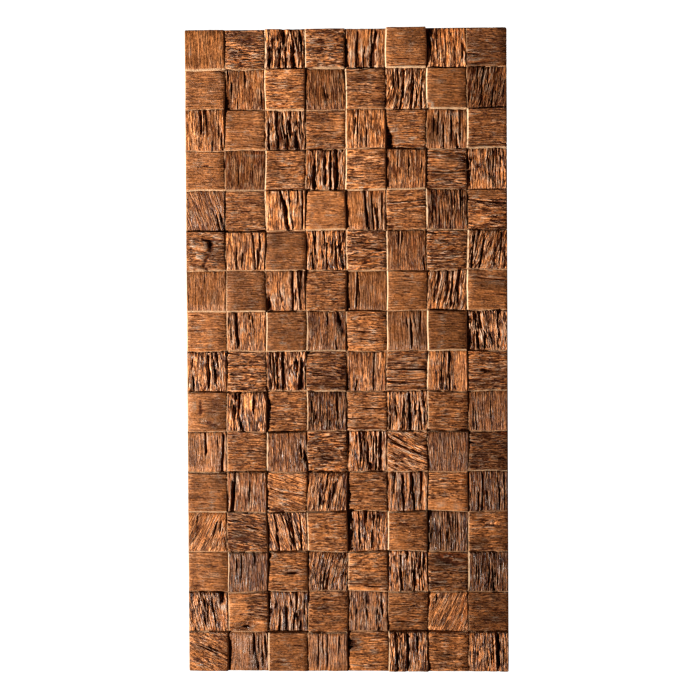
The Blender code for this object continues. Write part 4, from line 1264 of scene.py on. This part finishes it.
def stained_foam():
    """Rigid foam with a brown timber stain, darkened in its grain by a dark wash and painted shade, and
    lighter on its crests by dry-brush and a painted highlight.
    """
    nodes = Nodes("stained_foam")
    grain = nodes.attribute("grain", "Vector")
    relief = nodes.attribute("relief")
    wall = nodes.attribute("wall")
    tone = nodes.attribute("tone")
    bare = nodes.attribute("bare")
    place = nodes.add("ShaderNodeTexCoord", "Object")

    # Patterns drawn out along each block's grain, then even ones
    broad = nodes.noise(grain, (7, 1.1, 1), 3, 0.55, 0.3)
    streaks = nodes.noise(grain, (26, 2.2, 1), 3, 0.6, 0.2)
    hairs = nodes.noise(grain, (38, 2.6, 1), 2, 0.6, 0.15)
    pores = nodes.noise(grain, (36, 9, 1), 3, 0.6, 0.2)
    flecks = nodes.noise(grain, (26, 4.5, 1), 2, 0.5, 0.15)
    splits = nodes.noise(grain, (17, 1.6, 1), 3, 0.5, 0.2)
    off_line = nodes.math("ABSOLUTE", nodes.math("SUBTRACT", splits, 0.5))
    pitting = nodes.attribute("pitting")
    lined = nodes.attribute("lined")
    mottle = nodes.noise(place, (38, 38, 38), 4, 0.6)
    specks = nodes.noise(place, (260, 260, 260), 2, 0.6)

    # The stain, in streaks and patches
    streaked = nodes.math("ADD", nodes.math("MULTIPLY", streaks, 0.6), nodes.math("MULTIPLY", broad, 0.4))
    dark_streaks = nodes.math("MULTIPLY", nodes.rise(streaked, 0.5, 0.3), lined)
    light_streaks = nodes.math("MULTIPLY", nodes.rise(streaked, 0.48, 0.66), lined)
    colour = nodes.blend(dark_streaks, opaque("brown"), opaque("shade"))
    colour = nodes.blend(light_streaks, colour, opaque("tan"))
    patches = nodes.rise(mottle, 0.35, 0.68, 0.8, 1.16)
    patches = nodes.math("MULTIPLY", patches, nodes.rise(specks, 0.3, 0.7, 0.72, 1.28))
    patches = nodes.math("MULTIPLY", patches, nodes.rise(hairs, 0.3, 0.7, 0.78, 1.22))
    shade = nodes.math("MULTIPLY", patches, tone)
    rusty = nodes.math("MULTIPLY", nodes.attribute("rust"), nodes.rise(mottle, 0.35, 0.6, 0.4, 1.0))
    colour = nodes.blend(rusty, colour, opaque("rust"))
    colour = nodes.add("ShaderNodeHueSaturation", 0, {"Color": colour, "Value": shade})

    # Lighter crests: dry-brush, and in part a painted highlight
    crest = nodes.math("MULTIPLY", nodes.rise(relief, 0.08, 0.85), nodes.rise(mottle, 0.3, 0.65, 0.4, 0.95))
    brush_tone = nodes.rise(tone, 0.4, 1.5, 0.5, 1.05)
    brush_and_highlight = nodes.add("ShaderNodeHueSaturation", 0, {"Color": opaque("brush_and_highlight"), "Value": brush_tone})
    colour = nodes.blend(crest, colour, brush_and_highlight)

    # Painted shade and a dark wash in pits, splits and hollows; pale walls, part wear, part painted highlight
    inner = nodes.math("SUBTRACT", 1.0, wall)
    fronts = nodes.math("MULTIPLY", inner, nodes.math("SUBTRACT", 1.0, bare))
    pitted = nodes.math("MAXIMUM", nodes.rise(pores, 0.57, 0.64, 0.0, 0.9), nodes.rise(flecks, 0.6, 0.65))
    pitted = nodes.math("MULTIPLY", pitted, nodes.math("MULTIPLY", fronts, pitting))
    colour = nodes.blend(pitted, colour, opaque("wash_and_shade"))
    split = nodes.math("MULTIPLY", nodes.rise(off_line, 0.08, 0.0), nodes.rise(broad, 0.33, 0.53))
    split = nodes.math("MULTIPLY", split, nodes.math("MULTIPLY", fronts, lined))
    colour = nodes.blend(nodes.math("MULTIPLY", split, 0.7), colour, opaque("wash_and_shade"))
    wall_share = nodes.math("MULTIPLY", wall, nodes.rise(mottle, 0.25, 0.6, 0.7, 1.0))
    colour = nodes.blend(wall_share, colour, opaque("wall"))
    # Painted shade in hollows, grooves and pits, darker the deeper the relief
    colour = nodes.blend(nodes.rise(relief, -0.15, -1.0, 0.0, 0.92), colour, opaque("wash_and_shade"))

    # The bare foam of the back
    foam_grain = nodes.noise(place, (160, 160, 160), 3, 0.6)
    foam = nodes.blend(nodes.rise(foam_grain, 0.35, 0.65, 0.0, 0.35), opaque("foam"), opaque("brown"))
    colour = nodes.blend(bare, colour, foam)

    # The crests are smoother than the hollows
    gloss = nodes.rise(relief, -0.8, 0.5, 0.55, 0.3)
    rough = nodes.math("ADD", gloss, nodes.rise(specks, 0.3, 0.7, -0.05, 0.08))
    rough = nodes.math("MAXIMUM", rough, nodes.math("MULTIPLY", bare, 0.85))

    # Relief that is too fine for the mesh, in millimetres
    lines = nodes.math("MULTIPLY", nodes.rise(hairs, 0.3, 0.7), 1.9)
    lines = nodes.math("ADD", lines, nodes.math("MULTIPLY", nodes.rise(streaks, 0.3, 0.7), 1.0))
    lines = nodes.math("MULTIPLY", lines, lined)
    pits = nodes.math("MULTIPLY", nodes.rise(pores, 0.55, 0.66, 0.0, 1.5), pitting)
    lines = nodes.math("MULTIPLY", nodes.math("SUBTRACT", lines, pits), fronts)
    lines = nodes.math("SUBTRACT", lines, nodes.math("MULTIPLY", split, 1.2))
    grit = nodes.math("MULTIPLY", specks, 0.6)
    cells = nodes.math("MULTIPLY", nodes.math("MULTIPLY", foam_grain, bare), 0.6)
    height = nodes.math("ADD", lines, nodes.math("ADD", grit, cells))

    links, shader = nodes.tree.links, nodes.shader
    links.new(colour, shader.inputs["Base Color"])
    links.new(rough, shader.inputs["Roughness"])
    links.new(nodes.bump(height, MM), shader.inputs["Normal"])
    shader.inputs["Specular IOR Level"].default_value = 0.19
    return nodes.material


def make_floor():
    """A plain pale floor, short enough to stay out of the photograph's view, which lights nothing."""
    data = bpy.data.meshes.new("studio_floor")
    corners = [
        (-FLOOR_HALF, FLOOR_FRONT, FLOOR_LEVEL),
        (FLOOR_HALF, FLOOR_FRONT, FLOOR_LEVEL),
        (FLOOR_HALF, FLOOR_BACK, FLOOR_LEVEL),
        (-FLOOR_HALF, FLOOR_BACK, FLOOR_LEVEL),
    ]
    data.from_pydata(corners, [], [(0, 1, 2, 3)])
    floor = bpy.data.objects.new("studio_floor", data)
    bpy.context.scene.collection.objects.link(floor)
    nodes = Nodes("pale_floor")
    place = nodes.add("ShaderNodeTexCoord", "Object")
    cloud = nodes.noise(place, (3, 3, 3), 3)
    shade = nodes.blend(cloud, (0.80, 0.80, 0.79, 1), (0.86, 0.86, 0.85, 1))
    nodes.tree.links.new(shade, nodes.shader.inputs["Base Color"])
    nodes.tree.links.new(shade, nodes.shader.inputs["Emission Color"])
    nodes.shader.inputs["Emission Strength"].default_value = 0.45
    nodes.shader.inputs["Roughness"].default_value = 0.8
    data.materials.append(nodes.material)
    floor.visible_shadow = False
    floor.visible_diffuse = False
    floor.visible_glossy = False


def aim(thing, target):
    """Turns a light to a place."""
    thing.rotation_euler = (Vector(target) - thing.location).to_track_quat("-Z", "Y").to_euler()


def make_light(name, kind, location, target, colour, **settings):
    """One light, aimed at a place and out of the camera's sight."""
    lamp = bpy.data.objects.new(name, bpy.data.lights.new(name, kind))
    bpy.context.scene.collection.objects.link(lamp)
    lamp.location = location
    lamp.data.energy = LIGHT_POWERS[name]
    lamp.data.color = colour
    for setting, value in settings.items():
        setattr(lamp.data, setting, value)
    lamp.visible_camera = False
    aim(lamp, target)


def make_lights():
    """A low raking key from the left, as in the photograph, with weak soft light from all round."""
    height, turn = radians(LIGHT_HEIGHT), radians(LIGHT_TURN)
    to_light = Vector((-cos(height) * cos(turn), -sin(height), -cos(height) * sin(turn)))
    key = to_light * LIGHT_DISTANCE
    make_light(
        "key", "SPOT", key, LIGHT_TARGET, (1.0, 0.97, 0.94),
        spot_size=radians(65), spot_blend=1.0, shadow_soft_size=0.1,
    )
    make_light("fill", "AREA", (3.0, -0.45, 0.5), (0, 0, 0), (1.0, 0.50, 0.33), size=0.8)
    make_light("back_light", "AREA", (0.9, 2.4, 1.6), (0, 0, 0), (1.0, 0.98, 0.95), size=1.6)


def make_world():
    """White behind the panel, and a dim warm light from all round."""
    world = bpy.data.worlds.new("studio")
    bpy.context.scene.world = world
    world.use_nodes = True
    tree = world.node_tree
    dim = tree.nodes["Background"]
    dim.inputs["Color"].default_value = (1.0, 0.55, 0.32, 1)
    dim.inputs["Strength"].default_value = 0.042
    white = tree.nodes.new("ShaderNodeBackground")
    white.inputs["Color"].default_value = (1, 1, 1, 1)
    rays = tree.nodes.new("ShaderNodeLightPath")
    choice = tree.nodes.new("ShaderNodeMixShader")
    tree.links.new(rays.outputs["Is Camera Ray"], choice.inputs[0])
    tree.links.new(dim.outputs[0], choice.inputs[1])
    tree.links.new(white.outputs[0], choice.inputs[2])
    tree.links.new(choice.outputs[0], tree.nodes["World Output"].inputs["Surface"])


def make_camera():
    """The photograph's viewpoint, straight before the panel."""
    camera = bpy.data.objects.new("camera", bpy.data.cameras.new("camera"))
    bpy.context.scene.collection.objects.link(camera)
    camera.location = CAMERA_PLACE
    camera.rotation_euler = tuple(radians(angle) for angle in CAMERA_TURN)
    camera.data.lens = CAMERA_LENS
    bpy.context.scene.camera = camera


make_camera()
casting = make_casting()
casting.data.materials.append(stained_foam())
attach(casting, "root")
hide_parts("wall_panel")
make_floor()
make_lights()
make_world()
bpy.context.scene.view_settings.view_transform = "Standard"
bpy.context.scene.view_settings.look = "Medium High Contrast"
